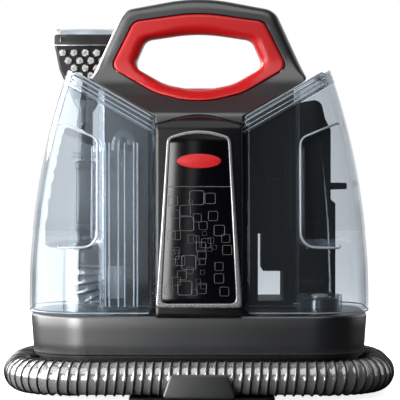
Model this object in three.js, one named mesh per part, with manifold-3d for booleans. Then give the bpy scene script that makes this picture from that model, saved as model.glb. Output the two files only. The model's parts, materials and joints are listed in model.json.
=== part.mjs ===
// Spot extractor: a small upright carpet and upholstery machine with two lift-off tanks, a carry
// handle, a suction hose wrapped round its base and a hand tool stored behind the left tank.
// Millimetres, +Z up, front towards -Y, origin on the floor at the centre of the machine.

import * as THREE from "three";
import { mergeVertices } from "three/addons/utils/BufferGeometryUtils.js";
import Module from "manifold-3d";

const wasm = await Module();
wasm.setup();

// Driving dimensions
const GAP = 0.35; // clearance between neighbouring pieces
const WALL = 3; // wall of the dark housings
const FAR = 400; // longer than the machine, for cutting tools

const BASE = { halfX: 148.8, halfY: 76, midY: -2, corner: 50, bottom: 38, deck: 72, bottomHalfX: 146.5 };
const TRAY = { halfX: 141.5, halfY: 71.2, corner: 46, bottom: 3, top: 37.7, flange: 35.2 };
const TONGUE = { left: -60, right: 65, front: -103, back: -60, bottom: 0.8, top: 3.4 };
const FOOT = { radius: 9, x: 112, y: 44 };

const COLUMN = { halfX: 37.3, footY: -88, browY: -80.3, shoulderY: -66.3, backY: 12, browZ: 239, topZ: 247 };
const SLOPE = Math.tan(Math.PI / 6); // the tank lids and the shoulders both rise outwards at 30 degrees
const SHOULDER = { x: 36, z: 242.7 }; // inner end of the lid line

const REAR = { halfX: 86, front: 12.35, back: 76 };
const POST = { left: 50, right: 128, upperRight: 123.5, front: 73, back: 98, step: 168, top: 235 }; // cord post
// Gap between the motor bay and the cord post, with a narrow slit above its inner side
const WINDOW = { left: 57, right: 77, bottom: 79, top: 106, slit: 53.5, slitTop: 140 };
const PORT = { x: 9, y: 87.5, z: 19.2, left: -10, right: 28, back: 103 }; // where the hose joins the base
const SCREWS = [[-118, -20], [118, -20], [-118, 20], [118, 20]];
const GRILLE = { halfX: 34, bottom: 96, top: 136 };
const GLAND = { x: 100, z: 88 };
const HOOK = { x: 104, z: 182, reach: 36.5, lip: 107 };

const TANK = { inner: 38, outer: 150.8, front: -75, back: 10, wing: 89, wingBack: 70, floor: 72.4, wall: 2.4 };
const TANK_LEAN = { from: 73, height: 208, inX: 32.4, power: 2.17, shareY: 0.2, pivotX: 92 };
const LID = { depth: 16.2, peakX: 107, outerX: 124, drop: 0.3 };
const RECESS = { edge: 86, back: -57, bottom: 130, top: 225, rise: 0.41 };

const HOSE = { radius: 15.3, sides: 10, steps: 72 };
const TOOL = { x: -107, y: 91.8, halfHead: 29.6 };

// Route of the hose centreline, from the machine cuff once round the base, over itself at the back
// and up into the hand tool.
const HOSE_ROUTE = [
  [-46.3, 87.5, 19.2], [-74, 87.5, 19.2], [-100, 87.5, 19.2], [-129, 79.7, 19.2],
  [-150.2, 58.5, 19.2], [-158, 29.5, 19.2], [-158, 0, 19.2], [-158, -29.5, 19.2],
  [-150.2, -58.5, 19.2], [-129, -79.7, 19.2], [-100, -87.5, 19.2], [-50, -87.5, 19.2],
  [0, -87.5, 19.2], [50, -87.5, 19.2], [100, -87.5, 19.2], [129, -79.7, 19.2],
  [150.2, -58.5, 19.2], [158, -29.5, 19.2], [158, 0, 19.2], [158, 29.5, 19.2],
  [150.2, 58.5, 19.2], [129, 80, 19.2], [103, 90, 20], [82, 91.8, 27],
  [62, 91.8, 39], [42, 91.8, 48.5], [20, 91.8, 51.5], [-20, 91.8, 51.5],
  [-55, 91.8, 51.5], [-81, 91.8, 58.5], [-100, 91.8, 77.5], [-106.2, 91.8, 94.5],
  [-107, 91.8, 103], [-107, 91.8, 108],
];

// Materials
const finish = (color, roughness, metalness = 0, opacity = 1) =>
  new THREE.MeshStandardMaterial({ color, roughness, metalness, opacity, transparent: opacity < 1 });
const charcoal = finish(0x3c3f42, 0.35);
const black = finish(0x101113, 0.4);
const redGrip = finish(0xc21a22, 0.3);
const silver = finish(0x9a9b9c, 0.35, 0.6);
const glossBlack = finish(0x050506, 0.12);
const clearTint = finish(0xb4c0ca, 0.1, 0, 0.35);
const hoseSmoke = finish(0x8a8d8d, 0.3, 0, 0.6);
const rubber = finish(0x1a1a1a, 0.8);
const steel = finish(0xb8babc, 0.3, 0.9);
const white = finish(0xe8e8e6, 0.6);
const foam = finish(0x4a4c4e, 0.95);

// Solids from three.js geometry
function solid(geometry) {
  geometry.deleteAttribute("normal");
  geometry.deleteAttribute("uv");
  const merged = mergeVertices(geometry, 1e-4);
  const vertProperties = new Float32Array(merged.attributes.position.array);
  const triVerts = new Uint32Array(merged.index.array);
  return new wasm.Manifold(new wasm.Mesh({ numProp: 3, vertProperties, triVerts }));
}

function geometryOf(manifold) {
  const mesh = manifold.getMesh();
  const geometry = new THREE.BufferGeometry();
  geometry.setAttribute("position", new THREE.BufferAttribute(mesh.vertProperties, 3));
  geometry.setIndex(new THREE.BufferAttribute(mesh.triVerts, 1));
  geometry.computeVertexNormals();
  return geometry;
}

// A closed outline from corners [x, y, radius], each rounded by a true arc.
function outline(corners) {
  const shape = new THREE.Shape();
  const at = (i) => new THREE.Vector2(...corners[(i + corners.length) % corners.length]);
  corners.forEach(([, , radius = 0], i) => {
    const corner = at(i);
    const toBefore = at(i - 1).sub(corner).normalize();
    const toAfter = at(i + 1).sub(corner).normalize();
    const half = Math.acos(THREE.MathUtils.clamp(toBefore.dot(toAfter), -1, 1)) / 2;
    const cut = radius / Math.tan(half);
    const entry = corner.clone().addScaledVector(toBefore, cut);
    if (i === 0) shape.moveTo(entry.x, entry.y);
    else shape.lineTo(entry.x, entry.y);
    if (radius <= 0) return;
    const inwards = toBefore.clone().add(toAfter).normalize();
    const middle = inwards.multiplyScalar(radius / Math.sin(half)).add(corner);
    const exit = corner.clone().addScaledVector(toAfter, cut);
    const startAngle = Math.atan2(entry.y - middle.y, entry.x - middle.x);
    const endAngle = Math.atan2(exit.y - middle.y, exit.x - middle.x);
    const clockwise = toBefore.cross(toAfter) > 0;
    shape.absarc(middle.x, middle.y, radius, startAngle, endAngle, clockwise);
  });
  shape.closePath();
  return shape;
}

const mirrored = (corners, side) => corners.map(([x, y, radius = 0]) => [x * side, y, radius]);
const bothSides = (corners) => [...corners, ...mirrored(corners.toReversed(), -1)];

function extruded(shape, depth, steps, curveSegments) {
  return new THREE.ExtrudeGeometry(shape, { depth, steps, curveSegments, bevelEnabled: false });
}

// Plan outline [x, y] raised from z0 to z1; bend, if given, moves each point [x, y, z] in place.
function upright(corners, z0, z1, { steps = 1, segments = 4, bend } = {}) {
  const geometry = extruded(outline(corners), z1 - z0, steps, segments).translate(0, 0, z0);
  if (bend) {
    const position = geometry.attributes.position;
    const point = new THREE.Vector3();
    for (let i = 0; i < position.count; i++) {
      bend(point.fromBufferAttribute(position, i));
      position.setXYZ(i, point.x, point.y, point.z);
    }
  }
  return solid(geometry);
}

// Front outline [x, z] carried from y0 to y1.
function frontal(corners, y0, y1, segments = 3) {
  return solid(extruded(outline(corners), y1 - y0, 1, segments).rotateX(Math.PI / 2).translate(0, y1, 0));
}

// Side outline [y, z] carried from x0 to x1.
function sideways(corners, x0, x1, segments = 3) {
  const geometry = extruded(outline(corners), x1 - x0, 1, segments);
  return solid(geometry.rotateX(Math.PI / 2).rotateZ(Math.PI / 2).translate(x0, 0, 0));
}

function block(x0, x1, y0, y1, z0, z1) {
  const box = new THREE.BoxGeometry(x1 - x0, y1 - y0, z1 - z0);
  return solid(box.translate((x0 + x1) / 2, (y0 + y1) / 2, (z0 + z1) / 2));
}

// A turned solid about a line through [x, y, z] along "x", "y" or "z"; profile is [radius, distance].
function turned(profile, [x, y, z], axis = "z", segments = 14) {
  const points = profile.map(([radius, along]) => new THREE.Vector2(radius, along));
  const geometry = new THREE.LatheGeometry(points, segments).rotateX(Math.PI / 2);
  if (axis === "x") geometry.rotateY(Math.PI / 2);
  if (axis === "y") geometry.rotateX(-Math.PI / 2);
  return solid(geometry.translate(x, y, z));
}

const rod = (radius, length, centre, axis, segments) =>
  turned([[0, 0], [radius, 0], [radius, length], [0, length]], centre, axis, segments);

const rectangle = (halfX, halfY, corner, midY = 0) => [
  [-halfX, midY - halfY, corner], [halfX, midY - halfY, corner],
  [halfX, midY + halfY, corner], [-halfX, midY + halfY, corner],
];

// A round tube of constant radius through the given points.
function tube(points, radius, sides, steps) {
  const path = new THREE.CatmullRomCurve3(points.map((p) => new THREE.Vector3(...p)), false, "centripetal");
  const section = new THREE.Shape();
  for (let i = 0; i < sides; i++) {
    const angle = (2 * Math.PI * (i + 0.5)) / sides;
    const [x, y] = [radius * Math.cos(angle), radius * Math.sin(angle)];
    if (i === 0) section.moveTo(x, y);
    else section.lineTo(x, y);
  }
  section.closePath();
  return solid(new THREE.ExtrudeGeometry(section, { extrudePath: path, steps, bevelEnabled: false }));
}

const lidLine = (x) => SHOULDER.z + (Math.abs(x) - SHOULDER.x) * SLOPE;

// Scene graph
const spotExtractor = new THREE.Group();

function place(name, manifold, material, parent = spotExtractor) {
  const mesh = new THREE.Mesh(geometryOf(manifold), material);
  mesh.name = name;
  parent.add(mesh);
}

// Base: a tapered housing over a tray, with the tank deck on top
const INLET = { x: -74, y: -25 }; // dirty water port in the deck
const SUCTION = { x: -62, y: -6 }; // air port in the deck
const OUTLET = { x: 108, y: -14 }; // clean water port in the deck
const MOTOR = { x: 0, y: 31 };

function baseTaper(point) {
  const share = (BASE.deck - point.z) / (BASE.deck - BASE.bottom);
  const squeeze = 1 - (share * (BASE.halfX - BASE.bottomHalfX)) / BASE.halfX;
  point.x *= squeeze;
  point.y = BASE.midY + (point.y - BASE.midY) * squeeze;
}

function baseHousing() {
  const shell = upright(rectangle(BASE.halfX, BASE.halfY, BASE.corner, BASE.midY), BASE.bottom, BASE.deck, {
    segments: 7,
    bend: baseTaper,
  });
  const inside = rectangle(BASE.halfX - WALL, BASE.halfY - WALL, BASE.corner - WALL, BASE.midY);
  const hollow = upright(inside, BASE.bottom - 1, BASE.deck - WALL, { segments: 7, bend: baseTaper });
  const port = ({ x, y }, radius) => rod(radius, 20, [x, y, BASE.deck - 10]);
  return shell
    .subtract(hollow)
    .subtract(port(INLET, 7))
    .subtract(port(SUCTION, 7))
    .subtract(port(OUTLET, 9.3))
    .subtract(port(MOTOR, 20));
}

function basePlate() {
  const tray = upright(rectangle(TRAY.halfX, TRAY.halfY, TRAY.corner), TRAY.bottom, TRAY.top);
  const flange = upright(
    rectangle(BASE.bottomHalfX - 1, BASE.halfY - 1, BASE.corner - 1, BASE.midY),
    TRAY.flange,
    TRAY.top,
  );
  const inside = rectangle(TRAY.halfX - WALL, TRAY.halfY - WALL, TRAY.corner - WALL);
  const hollow = upright(inside, TRAY.bottom + WALL, TRAY.top + 1);
  const tongue = upright(
    [
      [TONGUE.left, TONGUE.front, 8], [TONGUE.right, TONGUE.front, 8],
      [TONGUE.right, TONGUE.back], [TONGUE.left, TONGUE.back],
    ],
    TONGUE.bottom,
    TONGUE.top,
  );
  const hoseHole = rod(10, 20, [PORT.x, TRAY.halfY - 12, PORT.z], "y");
  let plate = tray.add(flange).add(tongue).subtract(hollow).subtract(hoseHole);
  for (const [x, y] of SCREWS) {
    plate = plate.add(rod(5, 12, [x, y, TRAY.bottom])).subtract(rod(2.4, 20, [x, y, 0]));
    plate = plate.subtract(rod(4.4, 4, [x, y, 0]));
  }
  return plate;
}

place("base_housing", baseHousing(), charcoal);
place("base_plate", basePlate(), black);
[["front_left", -1, -1], ["front_right", 1, -1], ["rear_left", -1, 1], ["rear_right", 1, 1]].forEach(
  ([corner, sideX, sideY]) => {
    const top = TRAY.bottom - GAP;
    const profile = [[0, 0], [FOOT.radius - 1, 0], [FOOT.radius, 1], [FOOT.radius, top], [0, top]];
    place(`foot_${corner}`, turned(profile, [sideX * FOOT.x, sideY * FOOT.y, 0]), rubber);
  },
);
SCREWS.forEach(([x, y], i) => {
  const profile = [[0, 0.6], [4, 0.6], [4, 3.6], [2, 3.7], [2, 14], [0, 14]];
  place(`base_screw_${i + 1}`, turned(profile, [x, y, 0], "z", 12), steel);
});

// Front column between the tanks, with its bezel and dark insert
function frontCover() {
  const side = [
    [COLUMN.footY, BASE.deck + GAP], [COLUMN.browY, COLUMN.browZ, 6],
    [COLUMN.shoulderY, COLUMN.topZ, 3], [COLUMN.backY, COLUMN.topZ], [COLUMN.backY, BASE.deck + GAP],
  ];
  const inner = [
    [COLUMN.footY + WALL + 1, BASE.deck - 5], [COLUMN.browY + WALL + 1, COLUMN.browZ - WALL, 4],
    [COLUMN.shoulderY + WALL, COLUMN.topZ - 10],
    [COLUMN.backY + 5, COLUMN.topZ - 10], [COLUMN.backY + 5, BASE.deck - 5],
  ];
  const halfX = COLUMN.halfX;
  const face = bothSides([[0, 247.5, 60], [halfX, 237.5, 2], [halfX, BASE.deck]]).slice(0, -1);
  const shell = sideways(side, -halfX, halfX).intersect(frontal(face, -FAR, FAR));
  return shell.subtract(sideways(inner, WALL - halfX, halfX - WALL));
}

const PANEL_LEAN = Math.atan((COLUMN.browY - COLUMN.footY) / (COLUMN.browZ - BASE.deck));
const panel = new THREE.Group();
panel.position.set(0, COLUMN.footY, BASE.deck);
panel.rotation.x = -PANEL_LEAN;
spotExtractor.add(panel);

// Heights of the panel pieces are above the deck, along the leaning face.
const BEZEL = { foot: 7.7, footHalf: 36.9, headHalf: 27.4, head: 154.5, crown: 163.5, depth: 2.6 };
const INSERT = { foot: 11.6, footHalf: 32.2, headHalf: 25, head: 152.5, crown: 159, depth: 1.6 };
const DIVIDER_Z = 112;

const crowned = ({ foot, footHalf, headHalf, head, crown }, grow = 0) =>
  bothSides([
    [0, crown + grow, 60], [headHalf + grow, head + grow, 5 + grow],
    [footHalf + grow, foot - grow, 4 + grow],
  ]).slice(0, -1);

function panelBezel() {
  const ring = frontal(crowned(BEZEL), -BEZEL.depth - GAP, -GAP, 5);
  const divider = frontal(
    [[-31, DIVIDER_Z - 0.6], [31, DIVIDER_Z - 0.6], [31, DIVIDER_Z + 0.6], [-31, DIVIDER_Z + 0.6]],
    -BEZEL.depth - GAP,
    -INSERT.depth - 2 * GAP,
  );
  return ring.subtract(frontal(crowned(INSERT, GAP), -10, 10, 5)).add(divider);
}

place("front_cover", frontCover(), charcoal);
place("panel_bezel", panelBezel(), silver, panel);
place("panel_insert", frontal(crowned(INSERT), -INSERT.depth - GAP, -GAP, 5), glossBlack, panel);

// Rear cover: motor bay behind the column, and the cord post at the right
const postFace = (inset) => [
  [POST.left + inset, BASE.deck + (inset || GAP)], [POST.right - inset, BASE.deck + (inset || GAP)],
  [POST.right - inset, POST.step - 2], [POST.upperRight - inset, POST.step + 2],
  [POST.upperRight - inset, POST.top - inset], [118 - inset, 246 - inset, 6], [114 - inset, 264 - inset, 8],
  [91 + inset, 260 - inset, 4], [91 + inset, POST.top - inset], [POST.left + inset, POST.top - inset],
];

const gap = (left, right, top, grow) => block(
  left - grow, right + grow, REAR.front - 1, POST.back + 1, WINDOW.bottom - grow, top + grow,
);

function rearCover() {
  const step = COLUMN.halfX + 1.2;
  const roof = (sink) => bothSides([
    [step, 237.4 - sink], [step, lidLine(step) - sink], [REAR.halfX - sink, lidLine(REAR.halfX - sink) - sink],
    [REAR.halfX - sink, BASE.deck + GAP - (sink ? 5 : 0)],
  ]);
  const bay = frontal(roof(0), REAR.front, REAR.back);
  const bayHollow = frontal(roof(WALL), REAR.front + WALL, REAR.back - WALL);
  const post = frontal(postFace(0), POST.front, POST.back);
  const postHollow = frontal(postFace(WALL), POST.front - 1, POST.back - WALL)
    .subtract(block(REAR.halfX - WALL, FAR, 0, REAR.back, 0, FAR));
  const shaft = (grow) => gap(WINDOW.left, WINDOW.right, WINDOW.top, grow)
    .add(gap(WINDOW.slit, WINDOW.left + 1, WINDOW.slitTop, grow));
  const halfOpening = COLUMN.halfX - WALL;
  const opening = block(-halfOpening, halfOpening, 0, REAR.front + WALL + 1, BASE.deck - 5, SHOULDER.z - 8);
  const vent = block(-GRILLE.halfX, GRILLE.halfX, REAR.back - 10, REAR.back + 5, GRILLE.bottom, GRILLE.top);
  const gland = rod(6.3, 20, [GLAND.x, POST.back - 10, GLAND.z], "y");
  const pivot = rod(3.3, 20, [HOOK.x, POST.back - 10, HOOK.z], "y");
  const hollow = bayHollow.add(postHollow).subtract(shaft(2.4));
  const cuts = [hollow, shaft(0), opening, vent, gland, pivot];
  return cuts.reduce((cover, cut) => cover.subtract(cut), bay.add(post));
}

function exhaustGrille() {
  const { halfX, bottom, top } = GRILLE;
  let grille = block(-halfX - 3, halfX + 3, REAR.back + GAP, REAR.back + 2, bottom - 3, top + 3)
    .add(block(GAP - halfX, halfX - GAP, REAR.back - 3, REAR.back + 1, bottom + GAP, top - GAP));
  for (let z = bottom + 4; z < top - 4; z += 7) {
    grille = grille.subtract(block(4 - halfX, halfX - 4, REAR.back - 9, REAR.back + 9, z, z + 3.4));
  }
  return grille;
}

place("rear_cover", rearCover(), black);
place("exhaust_grille", exhaustGrille(), black);
const filterBlock = block(-30, 30, REAR.back - 8, REAR.back - 3.4, GRILLE.bottom + 2, GRILLE.top - 2);
place("exhaust_filter", filterBlock, foam);
place("cord_gland", turned(
  [[3.6, -6], [6, -6], [6, 0.4], [8, 0.5], [8, 3], [5.2, 8.6], [3.6, 8.6], [3.6, -6]],
  [GLAND.x, POST.back, GLAND.z], "y", 16), rubber);
[[-70, 90], [70, 128], [-70, 225], [70, 228]].forEach(([x, z], i) => {
  const face = x < 0 ? REAR.back : POST.back;
  const profile = [[0, 0.3], [3.8, 0.3], [3.4, 2.2], [0, 2.6]];
  place(`cover_screw_${i + 1}`, turned(profile, [x, face, z], "y", 12), steel);
});

// Cord hooks on the post: the upper one turns about Y to let the cord off
function cordHook({ x, z, reach, lip }, shaftInset) {
  const tip = x + reach;
  const arm = frontal([[x - 7, z - 4, 3.5], [tip, z - 3, 2.5], [tip, z + 3, 2.5], [x - 7, z + 4, 3.5]],
    POST.back + GAP, POST.back + 4.4);
  const lug = block(tip - 6, tip, POST.back + 4, lip, z - 3, z + 3);
  return arm.add(lug).add(rod(3, shaftInset + 1, [x, POST.back - shaftInset, z], "y", 14));
}
const lowerPlate = [[78, 112, 3], [92, 112, 3], [90, 78, 3], [80, 78, 3]];
const lowerHook = frontal(lowerPlate, POST.back + GAP, POST.back + 4)
  .add(block(80.5, 89.5, POST.back + 3, HOOK.lip, 79, 84));
place("upper_cord_hook", cordHook(HOOK, 8), black);
place("lower_cord_hook", lowerHook, black);

// Upper housing and carry handle, split into a front and a rear half
const HOLE = bothSides([[0, 321.6, 150], [47.5, 314.5, 8], [58.2, 290, 9], [19, 268.9, 20]]).slice(0, -1);
const RING = bothSides([[0, 338, 150], [58, 330, 11], [78.5, 289, 9], [24, 257.6, 34]]).slice(0, -1);
const RING_CLEAR = bothSides(
  [[0, 338.4, 150], [58.3, 330.4, 11.3], [79, 288.8, 9.3], [24.1, 257.2, 34.3]],
).slice(0, -1);
const PROFILE = [ // depth of the housing against height
  [-66, 235], [-66, 247.5, 4], [-44, 263, 30], [-22, 284, 40], [-20, 352, 9],
  [20, 352, 9], [22, 290, 40], [48, 268, 30], [76, 250, 6], [76, 235],
];
const PROUD = PROFILE.map(([y, z, radius = 0]) => [y + Math.sign(y) * 1.4, z + 0.6, radius]);

function upperHousing() {
  const right = [
    [0, 352.95, 150], [67.5, 340, 7], [95.6, 279.6, 2], [94, lidLine(94) + 0.9],
    [COLUMN.halfX + 0.5, lidLine(COLUMN.halfX) + 1.2], [COLUMN.halfX + 0.5, 238.1],
    [34, 239, 0],
  ];
  const silhouette = [...right, [0, 248.1, 60], ...mirrored(right.slice(1).toReversed(), -1)];
  const housing = frontal(silhouette, -FAR, FAR, 5).intersect(sideways(PROFILE, -FAR, FAR, 3));
  const hollow = frontal([[-33, 225], [33, 225], [33, 250], [22, 254], [-22, 254], [-33, 250]], -50, 60)
    .add(block(-14, 14, -8, 8, 250, 260));
  return housing.subtract(frontal(RING_CLEAR, -FAR, FAR, 5)).subtract(hollow);
}

const SWITCH = { halfX: 16.5, halfY: 10.5, pivotZ: 262.5, top: 271.2 };

function gripRing() {
  const { halfX, halfY } = SWITCH;
  const band = frontal(RING, -FAR, FAR, 5).subtract(frontal(HOLE, -FAR, FAR, 5));
  const seat = block(-halfX - 0.5, halfX + 0.5, -halfY - 1.6, halfY + 1.6, 250, 280);
  return band.intersect(sideways(PROUD, -FAR, FAR, 3)).subtract(seat);
}

const upper = upperHousing();
place("upper_housing_front", upper.intersect(block(-FAR, FAR, -FAR, -GAP / 2, 0, FAR)), charcoal);
place("upper_housing_rear", upper.intersect(block(-FAR, FAR, GAP / 2, FAR, 0, FAR)), charcoal);
place("grip_ring", gripRing(), redGrip);
place("power_switch", sideways(
  [[-SWITCH.halfY, 267.5, 1], [-SWITCH.halfY, 270.6, 1], [0, SWITCH.top, 30], [SWITCH.halfY, 270.6, 1],
    [SWITCH.halfY, 267.5, 1], [4, 260.5, 1], [-4, 260.5, 1]],
  -SWITCH.halfX, SWITCH.halfX), redGrip);
place("switch_body", block(-13.4, 13.4, -7.4, 7.4, 248.2, 259.6), black);

// Tanks: side is -1 for the dirty water tank and +1 for the clean water tank
const tankPlan = (side, inset) => mirrored([
  [TANK.inner + inset, TANK.front + inset, 5], [TANK.outer - inset, TANK.front + inset, 50 - inset],
  [TANK.outer - inset, TANK.wingBack - inset, 38 - inset], [TANK.wing + inset, TANK.wingBack - inset, 5],
  [TANK.wing + inset, TANK.back - inset, 4], [TANK.inner + inset, TANK.back - inset, 4],
], side);

// The walls lean in towards the top, the outer one most.
function tankLean(point) {
  const share = Math.max(0, (point.z - TANK_LEAN.from) / TANK_LEAN.height);
  const over = Math.abs(point.x) - TANK_LEAN.pivotX;
  if (over > 0) {
    const squeeze = 1 - (TANK_LEAN.inX * share ** TANK_LEAN.power) / (TANK.outer - TANK_LEAN.pivotX);
    point.x = Math.sign(point.x) * (TANK_LEAN.pivotX + over * squeeze);
  }
  point.y *= 1 - TANK_LEAN.shareY * share ** 2;
}

const tankPrism = (side, inset) =>
  upright(tankPlan(side, inset), TANK.floor - 6, 300, { steps: 5, segments: 4, bend: tankLean });
const lidPrism = (side, inset) =>
  upright(tankPlan(side, inset), 220, 300, { segments: 3, bend: tankLean });

const lidBottom = (x) => lidLine(x) - LID.depth;
const CHAMFER = TANK.inner + 79.3; // x + z along the chamfer at the inner foot

function tankFace(side, inset, lift) {
  const foot = TANK.floor + inset;
  const corner = CHAMFER + inset * Math.SQRT2;
  return mirrored([
    [corner - foot, foot], [170, foot], [170, lidBottom(170) + lift],
    [20, lidBottom(20) + lift], [20, corner - 20],
  ], side);
}

function recess(side, inset) {
  const edge = RECESS.edge - inset;
  const reach = 200 - edge;
  const face = [
    [edge, RECESS.bottom - inset, 12], [200, RECESS.bottom - inset],
    [200, RECESS.top + inset + reach * RECESS.rise], [edge, RECESS.top + inset, 8],
  ];
  return frontal(mirrored(face, side), -FAR, RECESS.back + inset, 4);
}

function tankBlank(side, inset, lift) {
  const face = frontal(tankFace(side, inset, lift), -FAR, FAR);
  return tankPrism(side, inset).intersect(face).subtract(recess(side, inset));
}

const tankShell = (side) => tankBlank(side, 0, -GAP).subtract(tankBlank(side, TANK.wall, 80));

function lidFace(side, drop) {
  const chamfer = (x) => lidLine(LID.peakX) - (x - LID.peakX) * LID.drop;
  return mirrored([
    [20, lidBottom(20) - (drop ? 20 : 0)], [LID.outerX, lidBottom(LID.outerX) - (drop ? 20 : 0)],
    [LID.outerX, chamfer(LID.outerX) - drop], [LID.peakX, lidLine(LID.peakX) - drop, 5],
    [20, lidLine(20) - drop],
  ], side);
}

function tankLid(side) {
  const cap = lidPrism(side, 0).intersect(frontal(lidFace(side, 0), -FAR, FAR));
  return cap.subtract(lidPrism(side, TANK.wall).intersect(frontal(lidFace(side, 2.6), -FAR, FAR)));
}

function lidSeal(side) {
  const [inner, outer] = [lidBottom(20), lidBottom(170)];
  const band = [[20, inner + 0.4], [170, outer + 0.4], [170, outer + 3], [20, inner + 3]];
  const ring = lidPrism(side, TANK.wall + GAP).subtract(lidPrism(side, TANK.wall + 2.2));
  return ring.intersect(frontal(mirrored(band, side), -FAR, FAR));
}

const inletHoles = rod(6, 30, [INLET.x, INLET.y, 60]).add(rod(6, 30, [SUCTION.x, SUCTION.y, 60]));
place("dirty_tank", tankShell(-1).subtract(inletHoles), clearTint);
place("dirty_tank_lid", tankLid(-1), clearTint);
place("dirty_lid_seal", lidSeal(-1), rubber);
const outletCollar = turned(
  [[16, 0], [20, 0], [20, 14], [16, 14], [16, 0]], [OUTLET.x, OUTLET.y, TANK.floor + 0.2], "z", 20);
const outletHole = rod(17, 60, [OUTLET.x, OUTLET.y, TANK.floor - 20], "z", 20);
place("clean_tank", tankShell(1).add(outletCollar).subtract(outletHole), clearTint);
place("clean_tank_lid", tankLid(1), clearTint);
place("clean_lid_seal", lidSeal(1), rubber);

// Clean tank cap with its sprung valve
place("clean_tank_cap", turned(
  [[4.6, 0.4], [16.5, 0.4], [16.5, 11], [4.6, 11], [4.6, 0.4]], [OUTLET.x, OUTLET.y, TANK.floor], "z", 20,
), charcoal);
place("valve_poppet", turned(
  [[0, 0.6], [4, 0.6], [4, 11.3], [7.5, 11.4], [7.5, 14], [0, 15]], [OUTLET.x, OUTLET.y, TANK.floor]), white);
place("supply_grommet", turned(
  [[4, -3], [8.9, -3], [8.9, 0], [4, 0], [4, -3]], [OUTLET.x, OUTLET.y, BASE.deck]), rubber);

// Intake stack in the dirty tank, with the float that closes the air path
const STACK = { left: -84, right: -53, front: -38, back: -4, foot: 75.2, top: 215, wall: 1.8, guideX: -64.5 };

function intakeStack() {
  const { left, right, front, back, foot, top, wall, guideX } = STACK;
  const walls = block(left, right, front, back, foot, top);
  const wide = block(left + wall, guideX - wall / 2, front + wall, back - wall, foot - 1, top - wall);
  const narrow = block(guideX + wall / 2, right - wall, front + wall, back - wall, foot - 1, top - wall);
  const slots = block(left + 5, guideX - 4, front - 1, front + 5, 199, 208);
  const cane = tube([[-74, -20, 205], [-74, -20, 222], [-71.5, -20, 228.5], [-66, -20, 230.5], [-61, -20, 227],
    [-60, -20, 220]], 4, 8, 10);
  const stub = block(left, right, front, back, 200, top - 1);
  return walls.subtract(wide).subtract(narrow).subtract(slots).add(cane.subtract(stub));
}
place("intake_stack", intakeStack(), clearTint);
place("float_block", block(-81, -66.6, -33, -12, 84, 112), white);

// Drive: vacuum motor over its fan, and the pump in the base
place("fan_housing", turned(
  [[12, 76], [33.5, 76], [33.5, 112], [8, 112], [8, 109], [30.5, 109], [30.5, 79], [12, 79], [12, 76]],
  [MOTOR.x, MOTOR.y, 0], "z", 20), black);
place("fan_rotor", turned(
  [[0, 82], [28, 82], [28, 84], [8, 90], [28, 98], [28, 101], [3, 101], [3, 176], [0, 176]],
  [MOTOR.x, MOTOR.y, 0], "z", 18), steel);
place("motor_body", turned(
  [[3.6, 112.5], [27, 112.5], [28, 114], [28, 160], [18, 168], [18, 172], [3.6, 172], [3.6, 112.5]],
  [MOTOR.x, MOTOR.y, 0], "z", 18), steel);
const PUMP = { left: 30, right: 84, y: 8, z: 24 };
place("pump_body", block(PUMP.left, PUMP.right, PUMP.y - 17, PUMP.y + 17, 6.4, 44)
  .subtract(rod(7, 40, [PUMP.left - 1, PUMP.y, PUMP.z], "x")), charcoal);
place("pump_plunger", rod(6.6, 30, [PUMP.left - 4, PUMP.y, PUMP.z], "x"), steel);
place("supply_tube", tube(
  [[OUTLET.x, OUTLET.y, 68.6], [OUTLET.x, OUTLET.y, 60], [105, -4, 42], [95, 7, 36], [84.4, 8, 36]], 4, 6, 10,
), black);
place("spray_tube", tube(
  [[40, 25.4, 36], [40, 34, 36], [33, 50, 32], [24, 61, 29], [24, 67.6, 29]], 3, 6, 10,
), black);
place("inlet_duct", tube([
  [INLET.x, INLET.y, 68.6], [INLET.x, INLET.y, 62], [-68, -18, 44], [-40, 16, 26], [-4, 42, 19.2],
  [PORT.x, 62, 19.2], [PORT.x, 67.8, 19.2],
], 7.5, 8, 14), black);
place("suction_duct", tube([
  [SUCTION.x, SUCTION.y, 68.6], [SUCTION.x, SUCTION.y, 64], [-48, 2, 50], [-20, 20, 46], [-2, 30, 54],
  [MOTOR.x, MOTOR.y, 70], [MOTOR.x, MOTOR.y, 75.6],
], 7, 8, 14), black);

// Hose with its port, cuffs and front clip
function hosePort() {
  const housing = upright([
    [PORT.left, TRAY.halfY + GAP], [PORT.right, TRAY.halfY + GAP],
    [PORT.right, PORT.back, 10], [PORT.left, PORT.back, 3],
  ], 4.6, 34.8);
  const along = rod(9, 30, [PORT.left - 1, PORT.y, PORT.z], "x");
  return housing.subtract(along).subtract(rod(9, 20, [PORT.x, TRAY.halfY - 2, PORT.z], "y"));
}
place("hose_port", hosePort(), charcoal);
place("hose_cuff_machine", turned(
  [[9, 0], [13, 0], [14.8, 5], [14.8, 33], [12.6, 35.6], [9, 35.6], [9, 0]],
  [PORT.left - GAP - 35.6, PORT.y, PORT.z], "x", 18), black);
place("hose", tube(HOSE_ROUTE, HOSE.radius, HOSE.sides, HOSE.steps), hoseSmoke);
place("hose_cuff_tool", turned(
  [[7, 0], [14.8, 0], [14.8, 13], [11, 20], [7, 20], [7, 0]], [TOOL.x, TOOL.y, 108.4], "z", 18), hoseSmoke);
place("hose_clip", frontal([[-32, 4, 2], [32, 4, 2], [23.5, 24.2, 3], [-23.5, 24.2, 3]], -107, -103.4)
  .add(block(-28, 28, -107, -103.4, TONGUE.bottom, 6)), charcoal);

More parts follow.
